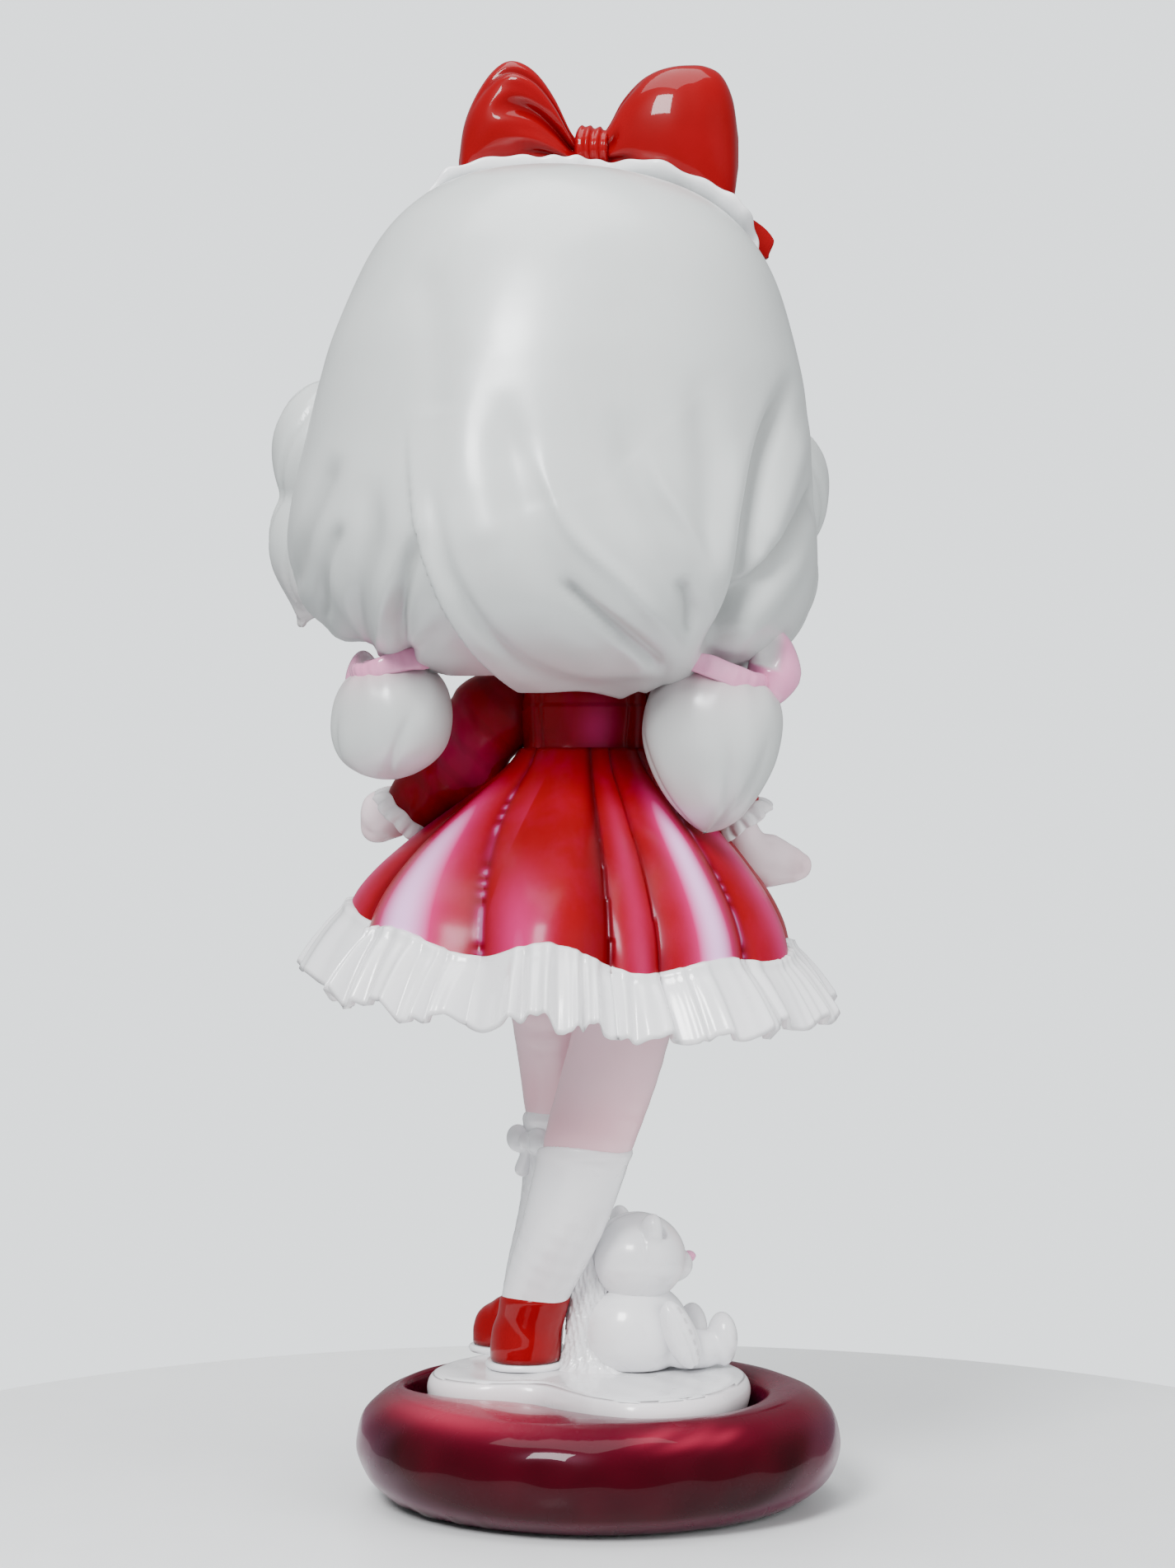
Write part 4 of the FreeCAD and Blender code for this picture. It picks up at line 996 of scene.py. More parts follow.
def make_frill():
    """The gathered white ruffle under the hem."""
    half = 15
    u, psi = sheet(half, 1260)
    phase = 46 * psi + 2.4 * np.sin(5 * psi + 1) + 1.1 * np.sin(11 * psi) + 0.5 * np.sin(17 * psi + 2)
    phase = phase + 0.8 * np.sin(9 * psi) * u
    strength = np.clip(0.95 + 0.35 * np.sin(7 * psi + 1.3) + 0.3 * np.sin(13 * psi), 0.35, 1.5)
    pleat = np.sin(phase + 0.85 * np.sin(phase)) * strength + 0.15 * np.sin(2.5 * phase + 1) * strength
    hem = skirt_surface(psi, np.ones_like(psi))[0]
    out = spots(np.sin(psi), np.cos(psi), 0)
    reach = 8.2 + 1.3 * np.cos(8 * (psi - 0.07)) + 0.6 * np.sin(13 * psi)
    drop = 11.2 + 0.9 * np.cos(8 * (psi - 0.07)) + 0.5 * np.sin(21 * psi + 1) + 0.3 * np.sin(phase * 0.5)
    grow = 0.30 + 0.85 * u ** 0.8
    far = -1.6 + (reach + 1.6) * u ** 0.85
    fall = 1.3 - (drop + 1.3) * u ** 1.25
    lip = 1.0 * hump(u, 0.06, 0.09)
    upper_r = far + 0.85 * pleat * grow + lip
    upper_z = fall + 0.60 * pleat * grow * (0.4 + u) + lip * 0.5 - 0.8 * u * np.sin(phase / 2)
    thick = 2.0
    lower_r = upper_r - thick * 0.75
    lower_z = upper_z - thick * 0.55
    lip_r, lip_z = upper_r[-1:] + 0.45, upper_z[-1:] - 1.15
    radial = np.concatenate([upper_r, lip_r, lower_r[::-1]])
    height = np.concatenate([upper_z, lip_z, lower_z[::-1]])
    rings = hem + out * radial[..., None]
    rings[..., 2] += height
    share = np.concatenate([u, [[1.0]], u[::-1]])
    pleat = np.concatenate([pleat, pleat[-1:], pleat[::-1]])
    under = np.concatenate([np.zeros(half), [0.3], np.ones(half)])[:, None]
    # Painted shade: darker in the pleats' valleys, just under the skirt's hem and on the underside; the
    # underside's pink tint is painted shade too.
    grime = np.clip(-pleat * 0.6 - 0.05, 0, 1) * 0.46 + np.exp(-share / 0.06) * 0.25 + under * 0.1
    add_rings("skirt_frill", rings, "figure", "white_gloss", loop_skin, grime=grime, blush=under * 0.7)


def make_underside():
    """The plate that closes the skirt inside the ruffle."""
    half = 16
    psi = full_turn(260)
    rim = skirt_surface(psi, np.ones_like(psi))[0] + 0.9 * spots(np.sin(psi), np.cos(psi), 0)
    centre = rim.mean(0)
    inward = np.linspace(0.02, 1, half)
    rings = centre + (rim - centre) * np.concatenate([inward, inward[::-1]])[:, None, None]
    rings[..., 2] += np.repeat([-5.6, -3.8], half)[:, None]
    add_rings("skirt_underside", rings, "figure", "white_gloss")


def make_bodice():
    """The bodice and its waistband."""
    t, psi = sheet(70, 220)
    half_x = np.interp(t[:, 0], *smooth_line([(0, 12.9), (0.2, 12.3), (0.55, 12.9), (0.90, 12.6), (1, 8.0)], 8).T)
    half_y = np.interp(t[:, 0], *smooth_line([(0, 11.2), (0.2, 10.4), (0.55, 10.9), (0.90, 10.4), (1, 7.4)], 8).T)
    deg = np.degrees(wrap(psi))
    band = 0.35 * step_up(t, 0.0, 0.05) * (1 - step_up(t, 0.62, 0.68))
    seam = 0.45 * hump(np.abs(deg), 47, 4) + 0.25 * np.cos(9 * psi + 3 * t) * (1 - t)
    x = WAIST.mid[0] + (half_x[:, None] + band - seam) * np.sin(psi)
    y = (half_y[:, None] + band - seam) * np.cos(psi)
    top = WAIST.high[2] + 0.4 + 3.2 * step_up(np.cos(psi), -0.1, 0.5)
    z = WAIST.low[2] - 1.2 + (top - WAIST.low[2] + 1.2) * t
    # Painted highlight: a pale pearl patch on the front. Painted shade: darker at the waist's foot and at the
    # top, under the hair.
    pearl = 0.30 * hump(deg, -12, 16) * hump(t, 0.35, 0.3)
    dark = 0.8 * np.exp(-t / 0.05) + 0.4 * step_up(t, 0.7, 1)
    add_rings("bodice", spots(x, y, z), "figure", "dress_pearl", pearl=pearl, grime=dark)


def make_collar():
    spot = Place("collar")
    phi, a = hoop(220, 20)
    notch = 1 - 0.5 * hump(wrap(phi - math.pi), 0, 0.10)
    radius = 8.0 + 1.4 * np.cos(a) * notch + 0.12 * np.cos(24 * phi)
    z = 2.0 * np.sin(a) - 0.9 * np.cos(a)
    rings = spots(spot.mid[0] + radius * np.sin(phi), radius * np.cos(phi), spot.mid[2] + z)
    add("collar", loop_skin(rings), "figure", "white_gloss")


def make_arm(word, shoulder, wrist, palm, tip):
    """Sleeve, ruffled cuff and mitten hand of one arm, from points on the boxes."""
    shoulder, wrist, palm, tip = (np.asarray(v, float) for v in (shoulder, wrist, palm, tip))
    length = np.linalg.norm(wrist - shoulder)
    way = (wrist - shoulder) / length
    outward = np.sign(way[0])

    def sleeve(p):
        along = (p - shoulder) @ way
        flat = p * (1, 1.22, 1) - (0, 0.22 * (shoulder[1] + wrist[1]) / 2, 0)
        puff = egg(flat, shoulder + (2.6 * outward, 0, 0.2), (8.6, 7.6, 8.2))
        d = join(puff, rod(flat, shoulder, wrist, 8.2, 6.3), 3)
        d = join(d, egg(flat, shoulder + way * length * 0.45 + (-2.6 * outward, 0, -3.6), (7.0, 6.0, 7.6)), 3)
        side = np.cross(way, [0, 1, 0])
        turn = np.arctan2((p - shoulder) @ side, (p - shoulder)[:, 1])
        fold = np.cos(1.05 * along + 2.0 * np.sin(turn)) * step_up(along, 1, 6)
        d = d + 0.34 * fold * (0.5 + 0.5 * np.cos(turn - 0.8)) + 0.3 * hump(along, 0.55 * length, 1.2)
        return meet(d, along - length - 1.0, 1.6)

    def sleeve_paint(p):
        along = (p - shoulder) @ way
        # Painted shade at the shoulder under the hair and in the fold valleys; a painted highlight on the upper
        # sleeve's side towards the camera.
        return {"grime": 0.4 * step_up(-along, -2, 6) + 0.15 * (np.cos(along * 1.05) < -0.6),
                "pearl": 0.16 * hump(along, 11, 6) * (p[:, 1] > shoulder[1] + 2)}

    low, high = np.minimum(shoulder, wrist) - 14, np.maximum(shoulder, wrist) + 14
    add("sleeve_" + word, carve(sleeve, low, high, 0.6), "figure", "dress_pearl", sleeve_paint)
    phi, a = hoop(300, 16)
    frill = 0.34 * np.cos(13 * phi + 1.5 * np.sin(2 * phi)) + 0.08 * np.cos(31 * phi)
    spread = (1 - np.cos(a)) / 2
    radius = 5.5 + 1.9 * spread + frill * spread + 0.8 * np.sin(a)
    along = 3.4 * spread - 0.36 * np.sin(a) + 0.2 * np.cos(7 * phi)
    side = np.cross(way, [0, 1, 0])
    side /= np.linalg.norm(side)
    deep = np.cross(way, side)
    rings = (wrist + way * (0.2 + along[..., None]) + side * (radius * np.sin(phi))[..., None]
             + deep * (radius * np.cos(phi))[..., None])
    # Painted shade in the ruffle's valleys.
    add_rings("cuff_" + word, rings, "figure", "white_gloss", loop_skin,
              grime=np.clip(-frill, 0, 1) * 0.35, blush=spread * 0.25)
    span = np.linalg.norm(tip - palm)
    reach = (tip - palm) / span
    flat = np.cross(reach, [0, 1, 0])
    flat /= np.linalg.norm(flat)
    if flat[2] > 0:
        flat = -flat

    def hand(p):
        d = rod(p, wrist - way * 1.0, palm, 3.4, 4.4)
        d = join(d, egg(p, palm + reach * span * 0.30, (5.6, 3.9, 5.0)), 2.2)
        for offset, size in ((-2.7, 0.80), (-0.9, 1.0), (0.9, 1.0), (2.6, 0.84)):
            root = palm + reach * span * 0.35 + flat * offset * 1.05
            end = palm + reach * span * size + flat * offset * 0.62
            d = join(d, rod(p, root, end, 2.8, 2.2), 1.0)
        thumb = palm + flat * 3.2 + reach * 0.2
        return join(d, rod(p, thumb, thumb + flat * 3.4 + reach * 0.6, 2.0, 1.3), 1.3)

    low = np.min([wrist, palm, tip], 0) - 9
    high = np.max([wrist, palm, tip], 0) + 9
    # Painted light: the whole hand is made paler, as if more brightly lit.
    add("hand_" + word, carve(hand, low, high, 0.42), "figure", "skin",
        lambda p: {"pale": np.full(len(p), 0.75),
                   "blush": 0.16 * step_up((p - palm) @ reach, span * 0.5, span * 1.1)})


# ---------------------------------------------------------------- legs

def make_leg(word, points, radii, socks, sock_radii):
    """A bare thigh and knee down to the sock, and the sock down into the shoe."""
    points, radii = smooth_line(points, 5), smooth_values(radii, 5)
    socks, sock_radii = smooth_line(socks, 5), smooth_values(sock_radii, 5)
    top, knee = points[0], points[-1]

    def leg(p):
        d = limb_field(p, list(zip(points, radii)))
        return meet(meet(d, p[:, 2] - top[2], 1.0), knee[2] - 3.0 - p[:, 2], 0.5)

    def sock(p):
        d = limb_field(p, list(zip(socks, sock_radii)))
        band = 0.35 * np.exp(-((p[:, 2] - socks[0][2] + 1.6) / 1.1) ** 2)
        wave = 0.10 * np.cos(2.2 * p[:, 2]) * step_up(-p[:, 2], -44, -36)
        edge = 0.7 * np.sin(np.arctan2(p[:, 0] - socks[0][0], p[:, 1] - socks[0][1]) * 2 + 0.4)
        return meet(meet(d - band - wave, p[:, 2] - socks[0][2] - edge, 0.5), socks[-1][2] - p[:, 2], 0.8)

    room = 13
    add("leg_" + word, carve(leg, np.min(points, 0) - room, np.max(points, 0) + room, 0.8), "figure", "skin",
        lambda p: {"blush": 0.30 * np.exp(-((p[:, 2] - knee[2] - 4) / 7) ** 2)})
    # Painted shade where the sock goes down into the shoe.
    add("sock_" + word, carve(sock, np.min(socks, 0) - room, np.max(socks, 0) + room, 0.7),
        "figure", "white_gloss",
        lambda p: {"blush": 0.25 * np.exp(-((p[:, 2] - socks[0][2]) / 4) ** 2),
                   "grime": 0.35 * np.exp(-((p[:, 2] - socks[-1][2]) / 2.0) ** 2)})


def make_shoe(word, heading, ankle):
    """A low shoe with a round toe and a raised heel cup, on a thin white sole."""
    spot = Place("sole_" + word)
    turn = rotation((0, 0, 1), heading)
    floor, top = Place("shoe_" + word).low[2], Place("shoe_" + word).high[2]
    heel = np.array([spot.mid[0], spot.mid[1], floor])

    def shoe(p):
        q = (p - heel) @ turn
        wide = 7.2 - 0.5 * step_up(q[:, 1], 2, 9)
        outline = (np.abs(q[:, 0] / wide) ** 2.5 + np.abs(q[:, 1] / 9.7) ** 2.5) ** (1 / 2.5) - 1
        d = meet(outline * 7.4 + 0.10 * np.maximum(q[:, 2] - 3, 0) ** 1.5, q[:, 2] - 9.4, 4.0)
        cup = limb_field(p, ankle) - 0.62
        d = join(d, meet(cup, q[:, 2] - 14.4 + 5.5 * step_up(-q[:, 1], -4, 5), 1.4), 2.4)
        strap = 0.4 * hump(q[:, 1], -3.4, 1.4) * step_up(q[:, 2], 5, 8)
        return meet(d - strap, -q[:, 2], 0.6)

    low, high = heel - (13, 13, 1.5), heel + (13, 13, top - floor + 2.5)
    # Painted shade along the shoe's foot, where it meets the sole.
    add("shoe_" + word, carve(shoe, low, high, 0.48), "figure", "bow_red",
        lambda p: {"grime": 0.7 * hump(p[:, 2], floor, 1.0)})
    phi = full_turn(160)[None, :]
    flat_rows = 10
    outward = np.linspace(0.05, 1, flat_rows)
    side_lift = np.linspace(0, 1, 8)[1:-1]
    share = np.concatenate([outward, np.ones(len(side_lift)), outward[::-1]])[:, None]
    lift = np.concatenate([np.zeros(flat_rows), side_lift, np.ones(flat_rows)])[:, None]
    bulge = 0.35 * np.sin(math.pi * lift)
    c, s = np.sin(phi), np.cos(phi)
    reach = 1 / (np.abs(c / 8.15) ** 2.6 + np.abs(s / 10.1) ** 2.6) ** (1 / 2.6)
    reach = reach * (1 - 0.05 * step_up(s, 0.2, 0.9)) + bulge + 0.1 * np.cos(9 * phi) * lift
    rings = spots(reach * c * share, reach * s * share, (spot.high[2] - spot.low[2]) * lift)
    rings = ring_frame(np.array([spot.mid[0], spot.mid[1], spot.low[2]]), turn, rings)
    add_rings("sole_" + word, rings, "figure", "sole_white")


def make_sock_bow():
    """The small bow with two hanging ends at the back of the left sock."""
    spot = Place("sock_bow_left")
    middle = spot.mid + np.array([-4.2, 4.6, -1.2])

    def field(p):
        q = (p - middle) @ rotation((0, 0, 1), 130)
        wing = np.abs(q[:, 0]) - 3.4
        d = egg(np.stack([wing, q[:, 1], q[:, 2] - 0.3], -1), np.zeros(3), (3.4, 1.9, 3.0))
        d = d + 0.3 * np.cos(1.9 * q[:, 2]) * step_up(3.4 - np.abs(q[:, 0]), 0, 3)
        d = join(d, egg(q, np.zeros(3), (1.7, 2.4, 2.1)), 0.7)
        for side in (-1, 1):
            d = join(d, rod(q, (0.5 * side, 0.6, -0.5), (3.2 * side, 0.9, -6.2), 1.0, 1.7), 0.7)
        return d

    # A darker band across the bow, just above its knot.
    add("sock_bow_left", carve(field, middle - 11, middle + 11, 0.36), "figure", "white_gloss",
        lambda p: {"grime": 0.3 * hump(p[:, 2], spot.mid[2], 1.0)})


# ---------------------------------------------------------------- bear, plinth, base

BEAR_C = np.array([Place("bear_body").mid[0] + 1.4, Place("bear_body").mid[1] - 0.2, 0.0])
BEAR_R = rotation((0, 0, 1), 205)


def bear_piece(name, field, low, high, step, paint, slot="white_gloss", replaces=None):
    """A bear part carved in the bear's own frame, where it faces +X."""
    points, faces = carve(field, low, high, step)
    add(name, (points @ BEAR_R.T + BEAR_C, faces), "figure", slot, paint(points), replaces)


def make_bear():
    """A sitting teddy bear with seams: its body and legs, its arms, its head and its nose."""
    def mirror(p):
        return np.stack([p[:, 0], np.abs(p[:, 1]), p[:, 2]], -1)

    def body(p):
        m = mirror(p)
        d = egg(p, np.array([-0.5, 0, 33.6]), (11.6, 10.4, 10.2))
        d = join(d, egg(m, np.array([10.2, 6.4, 29.5]), (8.0, 4.3, 4.2)), 1.0)
        d = join(d, egg(m, np.array([16.4, 7.0, 31.4]), (3.0, 4.2, 5.7)), 0.7)
        d = d + 0.35 * hump(p[:, 1], 0, 0.45) * (p[:, 0] < 4)
        return meet(d, 25.4 - p[:, 2], 0.6)

    def body_paint(p):
        # The seam is real stitching; the band at the foot is painted shade where the bear sits on the footing.
        return {"grime": 0.35 * hump(p[:, 1], 0, 0.4) * (p[:, 0] < 4) + 0.25 * hump(p[:, 2], 25.6, 1)}

    bear_piece("bear_body", body, (-14, -16, 24), (22, 16, 47), 0.5, body_paint,
               replaces=["bear_body", "bear_leg_left", "bear_leg_right"])
    elbow = np.array([4.6, 10.9, 33.6])
    lean = rotation((0, 1, 0), -24)

    def arms(p):
        m = mirror(p)
        across = ((m - elbow) @ lean)[:, 0]
        return egg(m, elbow, (3.5, 3.2, 7.8), lean) + 0.3 * hump(across, 0, 0.4) * (m[:, 1] > 11)

    def arm_paint(p):
        q = (mirror(p) - elbow) @ lean
        dash = (np.sin(2.6 * q[:, 2]) > -0.2) * hump(q[:, 0], 1.2, 0.35)
        return {"grime": dash * (q[:, 1] > 0.8) * 0.8}

    bear_piece("bear_arms", arms, (-3, -16, 24), (12, 16, 43), 0.38, arm_paint,
               replaces=["bear_arm_left", "bear_arm_right"])

    def head(p):
        m = mirror(p)
        d = egg(p, np.array([-0.2, 0, 48.8]), (10.2, 10.6, 9.5))
        d = join(d, egg(p, np.array([8.0, 0, 46.8]), (4.4, 4.7, 3.8)), 1.2)
        ear = rotation((1, 0, 0), -24)
        d = join(d, egg(m, np.array([-0.4, 7.2, 54.8]), (2.3, 3.0, 4.2), ear), 0.6)
        d = meet(d, -egg(m, np.array([2.0, 7.8, 55.4]), (1.2, 1.8, 2.4), ear), 0.5)
        d = join(d, egg(m, np.array([8.1, 3.3, 50.6]), (1.1, 1.1, 1.3)), 0.3)
        d = d + 0.34 * hump(p[:, 1], 0, 0.42) * (p[:, 0] < 6)
        return d + 0.25 * np.exp(-((p[:, 0] + 1.0 + 0.2 * np.abs(p[:, 1])) / 0.4) ** 2) * (p[:, 2] < 55)

    def head_paint(p):
        m = mirror(p)
        eye = np.exp(-(np.linalg.norm(m - [8.6, 3.3, 50.6], axis=1) / 1.3) ** 6)
        seam = hump(p[:, 1], 0, 0.38) * (p[:, 0] < 6)
        return {"grime": eye + 0.3 * seam, "blush": 0.5 * hump(m[:, 1], 6.5, 2) * (p[:, 0] > 4)}

    bear_piece("bear_head", head, (-12, -14, 36), (15, 14, 64), 0.5, head_paint,
               replaces=["bear_head", "bear_muzzle", "bear_ear_left", "bear_ear_right"])

    def nose(p):
        q = p - np.array([12.1, 0, 48.2])
        return egg(q, np.zeros(3), (1.4, 1.9, 1.25)) + 0.12 * np.abs(q[:, 1]) * (q[:, 2] < 0)

    bear_piece("bear_nose", nose, (9, -4, 45), (15, 4, 51), 0.22, lambda p: {}, "ribbon_pink")


def make_web():
    """The rough cast web between the sock and the bear."""
    spot = Place("leg_support")
    rows, columns = 150, 150
    t, phi = sheet(rows, columns)
    across = 6.8 - 3.7 * t ** 0.8 + 2.6 * np.exp(-t / 0.06)
    wobble = 0.25 * np.sin(9 * phi + 14 * t) + 0.22 * np.sin(21 * phi - 33 * t) + 0.15 * np.sin(37 * phi + 51 * t)
    wobble = 0.7 * wobble + 0.07 * RNG.standard_normal((rows, columns))
    x = spot.mid[0] - 0.6 + (across + wobble) * np.sin(phi) + 2.4 * t
    y = spot.mid[1] + (across * 0.9 + wobble) * np.cos(phi) + 1.0 * t
    z = spot.low[2] - 0.4 + (spot.high[2] + 1.5 - spot.low[2]) * t
    # Painted shade in the dents of the rough surface.
    add_rings("leg_support", spots(x, y, z), "figure", "white_gloss", grime=np.clip(-wobble * 0.8, 0, 0.4))


PLINTH = Place("plinth")
# The slab's outline from above: bearing in degrees and reach. The waist is on the camera's side.
PLINTH_EDGE = smooth_line([(-180, 34.0), (-140, 34.4), (-105, 34.2), (-70, 34.0), (-50, 35.4), (-34, 35.8),
                           (-16, 34.6), (-3, 28.5), (8, 22.5), (22, 17.5), (38, 15.6), (51, 18.0), (63, 25.0),
                           (76, 31.0), (90, 33.8), (112, 34.8), (145, 34.4), (180, 34.0)], 10)


def plinth_reach(phi):
    return np.interp(np.degrees(wrap(phi)), PLINTH_EDGE[:, 0], PLINTH_EDGE[:, 1])


def make_plinth():
    """The figure's own cast footing, a flat blob that drops into the base's dish."""
    phi = full_turn(420)[None, :]
    low, high = PLINTH.low[2], PLINTH.high[2]
    bottom, rim, top = np.linspace(0.06, 0.90, 8), np.linspace(0, 1, 22), np.linspace(1, 0.02, 70)
    below, beside, above = np.zeros(len(bottom)), np.ones(len(rim)), np.ones(len(top))
    share = np.concatenate([bottom, 0.94 * beside, top * 0.96])[:, None]
    edge = np.concatenate([below, 1.9 * np.sin(math.pi * rim ** 2.2) ** 0.6, 0 * above])[:, None]
    z = np.concatenate([below + low, low + (high - low - 0.5) * rim, above * high])[:, None]
    radius = plinth_reach(phi) * share + edge
    x, y = PLINTH.mid[0] + radius * np.sin(phi), PLINTH.mid[1] + radius * np.cos(phi)
    up = np.concatenate([below, 0 * beside, above])[:, None]
    soft = 0.16 * np.sin(0.19 * x + 0.6) * np.cos(0.16 * y) + 0.05 * np.sin(0.7 * x + 0.4 * y)
    roll = -0.8 * np.exp(-((0.96 - share) / 0.03)) * up
    rings = spots(x, y, z + up * (soft - 0.1) + roll)
    foot = np.hypot(x - Place("shoe_right").mid[0], y - Place("shoe_right").mid[1])
    bear = np.hypot(x - BEAR_C[0], y - BEAR_C[1])
    # Painted shadows: darker rings round the right shoe and the bear on the top.
    grime = up * 0.22 * (hump(foot, 9, 2.5) + hump(bear, 11, 2.5))
    add_rings("plinth", rings, "figure", "white_gloss", grime=grime, blush=0.35 * (1 - up))


def make_base():
    """The candy-lacquered ring. Its dish follows the footing on the near side and is round elsewhere."""
    spot = Place("base_ring")
    phi = full_turn(560)[None, :]
    deg = np.degrees(wrap(phi))
    s, c = np.sin(phi), np.cos(phi)
    gap = np.array([PLINTH.mid[0] - 3.0, PLINTH.mid[1]])
    along = gap[0] * s + gap[1] * c
    round_dish = -along + np.sqrt(along ** 2 - gap @ gap + 37.9 ** 2)
    near = step_up(deg, -48, -30) * (1 - step_up(deg, 72, 100))
    dish = round_dish + (np.minimum(round_dish, plinth_reach(phi) * 0.94 + 2.9) - round_dish) * near
    knots = smooth_line([(0.3, 0.0), (20, 0.0), (36, 0.0), (39.5, 0.15), (43.6, 1.5), (48.2, 5.0), (50.3, 9.6),
                         (50.3, 13.6), (48.9, 17.8), (45.8, 21.0), (42.4, 22.6), (40.4, 22.7), (38.5, 21.8),
                         (38.0, 19.0), (37.9, 14.4), (37.2, 13.6), (34, 13.5), (15, 13.5), (0.3, 13.5)], 8)
    reach, z = knots[:, :1], knots[:, 1:]
    outer = (reach > 38.4) * 1.0
    drip = sum(h * np.exp(-((deg - a) / w) ** 2)
               for a, w, h in ((52, 3.5, 0.9), (40, 2.2, 0.6), (66, 3.0, 0.7), (31, 1.8, 0.4), (-4, 5, 0.3)))
    rim_at = 80  # the row of the profile where the rim turns down into the dish
    within = np.arange(len(knots))[:, None] >= rim_at
    low = hump(z, 1.2, 1.5) * (reach > 37) * ~within
    wave = 0.20 * np.sin(3 * phi + 1) + 0.12 * np.sin(7 * phi + 0.25 * z) + 0.07 * np.sin(19 * phi + 0.5 * z)
    radius = reach + outer * wave * np.clip(z / 8, 0, 1) + low * drip
    edge = reach[rim_at, 0]
    on_rim = np.clip((reach - 38.0) / (edge - 38.0), 0, 1)
    x_out = spot.mid[0] + radius * s
    y_out = spot.mid[1] + radius * c
    inner_r = dish * np.minimum(1, reach / 38.0)
    x_edge, y_edge = spot.mid[0] + edge * s, spot.mid[1] + edge * c
    x_in = PLINTH.mid[0] + inner_r * s
    y_in = PLINTH.mid[1] + inner_r * c
    x = np.where(within, x_in + (x_edge - x_in) * on_rim, x_out)
    y = np.where(within, y_in + (y_edge - y_in) * on_rim, y_out)
    height = z + 0.18 * np.sin(5 * phi + 2) * hump(z, 22, 3) * outer
    top = hump(z, 22.4, 1.9) * (outer + within > 0)
    ragged = 0.65 + 0.35 * np.sin(23 * phi + 2.0 * z) * np.sin(9 * phi + 1.0)
    # Painted reflection of the white footing: pale pink-red patches on the rim.
    thin = top * hump(deg, 44, 26)
    thin = thin + 0.9 * ragged * np.exp(-((deg + 22) / 14) ** 4 - ((z - 20.2) / 1.7) ** 2)
    thin = thin * (reach > 37.9)
    # Painted light: a lighter band along the rim's top and a faint one near its foot.
    glow = 0.9 * hump(z, 21.5, 3.2) * (reach > 37.9) + 0.3 * hump(z, 3, 1.6) * ~within
    # Painted shade at the foot and inside the dish under the footing, and darker paint over the drips.
    grime = hump(z, 0, 2.0) * outer * 0.6 + 0.8 * low * np.clip(drip, 0, 1) + 0.8 * (reach < 37.95) * within
    add_rings("base_ring", spots(x, y, np.maximum(height, 0)), "base", "base_lacquer",
              thin=thin * 0.85, glow=glow, grime=grime)


# ---------------------------------------------------------------- build

make_hair_back()
make_fringe()
make_side_lock("side_lock_left", 1)
make_side_lock("side_lock_right", -1)
make_bunch("bunch_left", 8, 1.5, (-1.4, 0, 2.6),
           [(0, 0.55), (0.06, 0.76), (0.2, 0.95), (0.38, 1.03), (0.58, 1.02), (0.76, 0.90), (0.89, 0.66),
            (0.97, 0.34), (1, 0.04)],
           [(48, 45, 0.7), (-40, 50, 0.6), (150, 25, 0.6), (230, 20, 0.6)])
make_bunch("bunch_right", -12, -3.0, (1.6, 0, 1.6),
           [(0, 0.60), (0.05, 0.80), (0.17, 0.97), (0.32, 1.03), (0.50, 0.99), (0.68, 0.82), (0.83, 0.58),
            (0.94, 0.30), (1, 0.04)],
           [(-58, 20, 0.8), (12, -48, 0.7), (95, -25, 0.6), (190, 20, 0.6)])
make_tie("tie_left", "bunch_left", 14, 9.3, 2.1, (-1.0, 0, 1.6))
make_tie("tie_right", "bunch_right", -18, 12.2, 2.0, (-0.8, 0, 2.4))
make_tie_bow("tie_bow_left", 1, 0.85, (-5.5, -6.0, 0))
make_tie_bow("tie_bow_right", -1, 1.3, (0.5, 0, 1.2))
make_headband()
make_bow()
make_head()
make_eye("eye_left", 1)
make_eye("eye_right", -1)
make_skirt()
make_frill()
make_underside()
make_bodice()
make_collar()
make_arm("left", (20.5, -3, 163.0), (39.6, -8.6, 143.4), (43.6, -13.4, 143.6), (48.0, -16.0, 138.6))
make_arm("right", (-15, -3, 162.4), (-28.6, -5, 142.4), (-32.4, -5.8, 132.8), (-42.6, -6.4, 131.2))
make_leg("right", [(-9.5, 0.5, 116), (-3.8, 5, 93.2), (2.4, 6, 73.5)], (9.6, 9.8, 9.0),
         [(2.4, 6, 73.5), (7, 2.5, 58), (13, -4.2, 42), (14.8, -6.6, 33)], (9.35, 8.4, 6.8, 6.2))
make_leg("left", [(11.5, -6, 116), (7.9, -10.5, 92.7), (6.7, -13, 79)], (9.3, 9.2, 8.6),
         [(6.7, -13, 79), (8.5, -19.5, 60), (13.2, -26.4, 43), (15, -28, 33)], (8.95, 7.9, 6.5, 6.1))
make_shoe("right", -6, [((13, -4.2, 42), 6.8), ((14.8, -6.6, 33), 6.2), ((15.2, -7.2, 29), 6.0)])
make_shoe("left", 72, [((13.2, -26.4, 43), 6.5), ((15, -28, 33), 6.1), ((15.6, -28.2, 29), 5.9)])
make_sock_bow()
make_bear()
make_web()
make_plinth()
make_base()

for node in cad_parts.values():
    for held in node.material_slots:
        slot_name = held.material.name.split(".")[0]
        if slot_name in LOOKS:
            held.material = LOOKS[slot_name]

# ---------------------------------------------------------------- stage

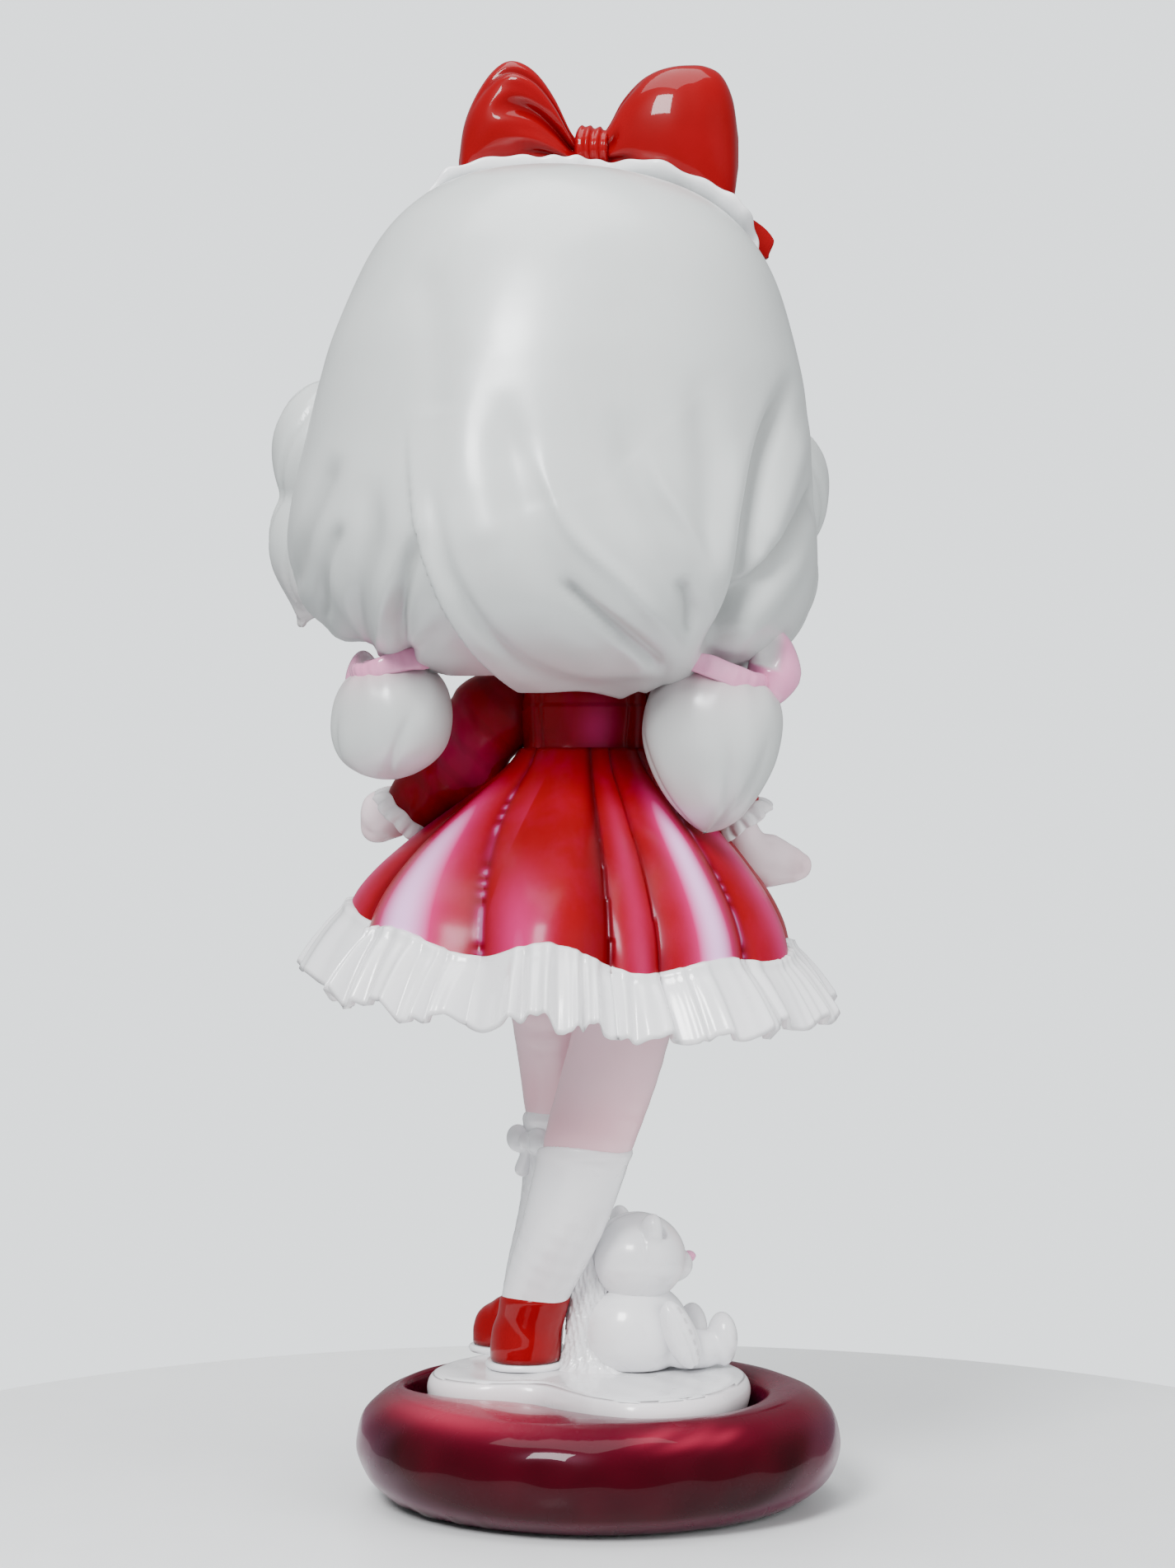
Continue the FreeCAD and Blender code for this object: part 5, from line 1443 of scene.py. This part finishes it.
FLOOR_RADIUS, FLOOR_CORNERS = 0.19, 96
floor_mesh = bpy.data.meshes.new("floor")
disc = [(FLOOR_RADIUS * math.cos(a), FLOOR_RADIUS * math.sin(a), 0) for a in full_turn(FLOOR_CORNERS)]
floor_mesh.from_pydata(disc, [], [list(range(FLOOR_CORNERS))])
floor = bpy.data.objects.new("floor", floor_mesh)
bpy.context.scene.collection.objects.link(floor)
floor_paint = Paint("floor", (0.87, 0.89, 0.90), rough=0.4, coat=0.25, coat_rough=0.06)
floor_paint.over((0.84, 0.86, 0.87), floor_paint.spread(floor_paint.noise(160, 2), 0, 1))
floor_mesh.materials.append(floor_paint.done(0.03))

world = bpy.data.worlds.new("studio")
world.use_nodes = True
sky = world.node_tree.nodes["Background"]
sky.inputs["Color"].default_value = (0.93, 0.975, 1.0, 1)
seen = world.node_tree.nodes.new("ShaderNodeLightPath")
level = world.node_tree.nodes.new("ShaderNodeMapRange")
level.inputs["To Min"].default_value = 0.42  # how brightly the room lights the toy
level.inputs["To Max"].default_value = 1.9  # how bright the backdrop is to the camera
world.node_tree.links.new(seen.outputs["Is Camera Ray"], level.inputs["Value"])
world.node_tree.links.new(level.outputs[0], sky.inputs["Strength"])
bpy.context.scene.world = world


def area(name, spot, target, size, watts, mirrored=True):
    """A soft light panel. Unless mirrored, it doesn't show in the gloss."""
    light = bpy.data.lights.new(name, "AREA")
    light.shape = "RECTANGLE"
    light.size, light.size_y = size
    light.energy = watts
    obj = bpy.data.objects.new(name, light)
    obj.location = spot
    obj.rotation_euler = (Vector(target) - Vector(spot)).to_track_quat("-Z", "Y").to_euler()
    obj.visible_glossy = mirrored
    bpy.context.scene.collection.objects.link(obj)


area("key", (0.40, 0.85, 0.85), (0, 0, 0.18), (0.34, 0.42), 20)
area("fill", (-0.9, 0.7, 0.45), (0, 0, 0.12), (0.9, 0.9), 12, False)
area("top", (0.1, 0.1, 1.1), (0, 0, 0.15), (0.8, 0.8), 10)
area("front", (0.3, -1.1, 0.5), (0, 0, 0.16), (0.8, 0.8), 9, False)

# The photograph's level camera behind the toy. Its distance and height follow from the assumed 300 mm.
CAMERA_PLACE = (0.00224, 0.706, 0.1485)
FOCAL_LENGTH, SENSOR_WIDTH = 77.56, 36
lens = bpy.data.cameras.new("camera")
lens.lens, lens.sensor_width = FOCAL_LENGTH, SENSOR_WIDTH
camera = bpy.data.objects.new("camera", lens)
camera.location = CAMERA_PLACE
camera.rotation_euler = (math.radians(90), 0, math.radians(180))
bpy.context.scene.collection.objects.link(camera)
bpy.context.scene.camera = camera
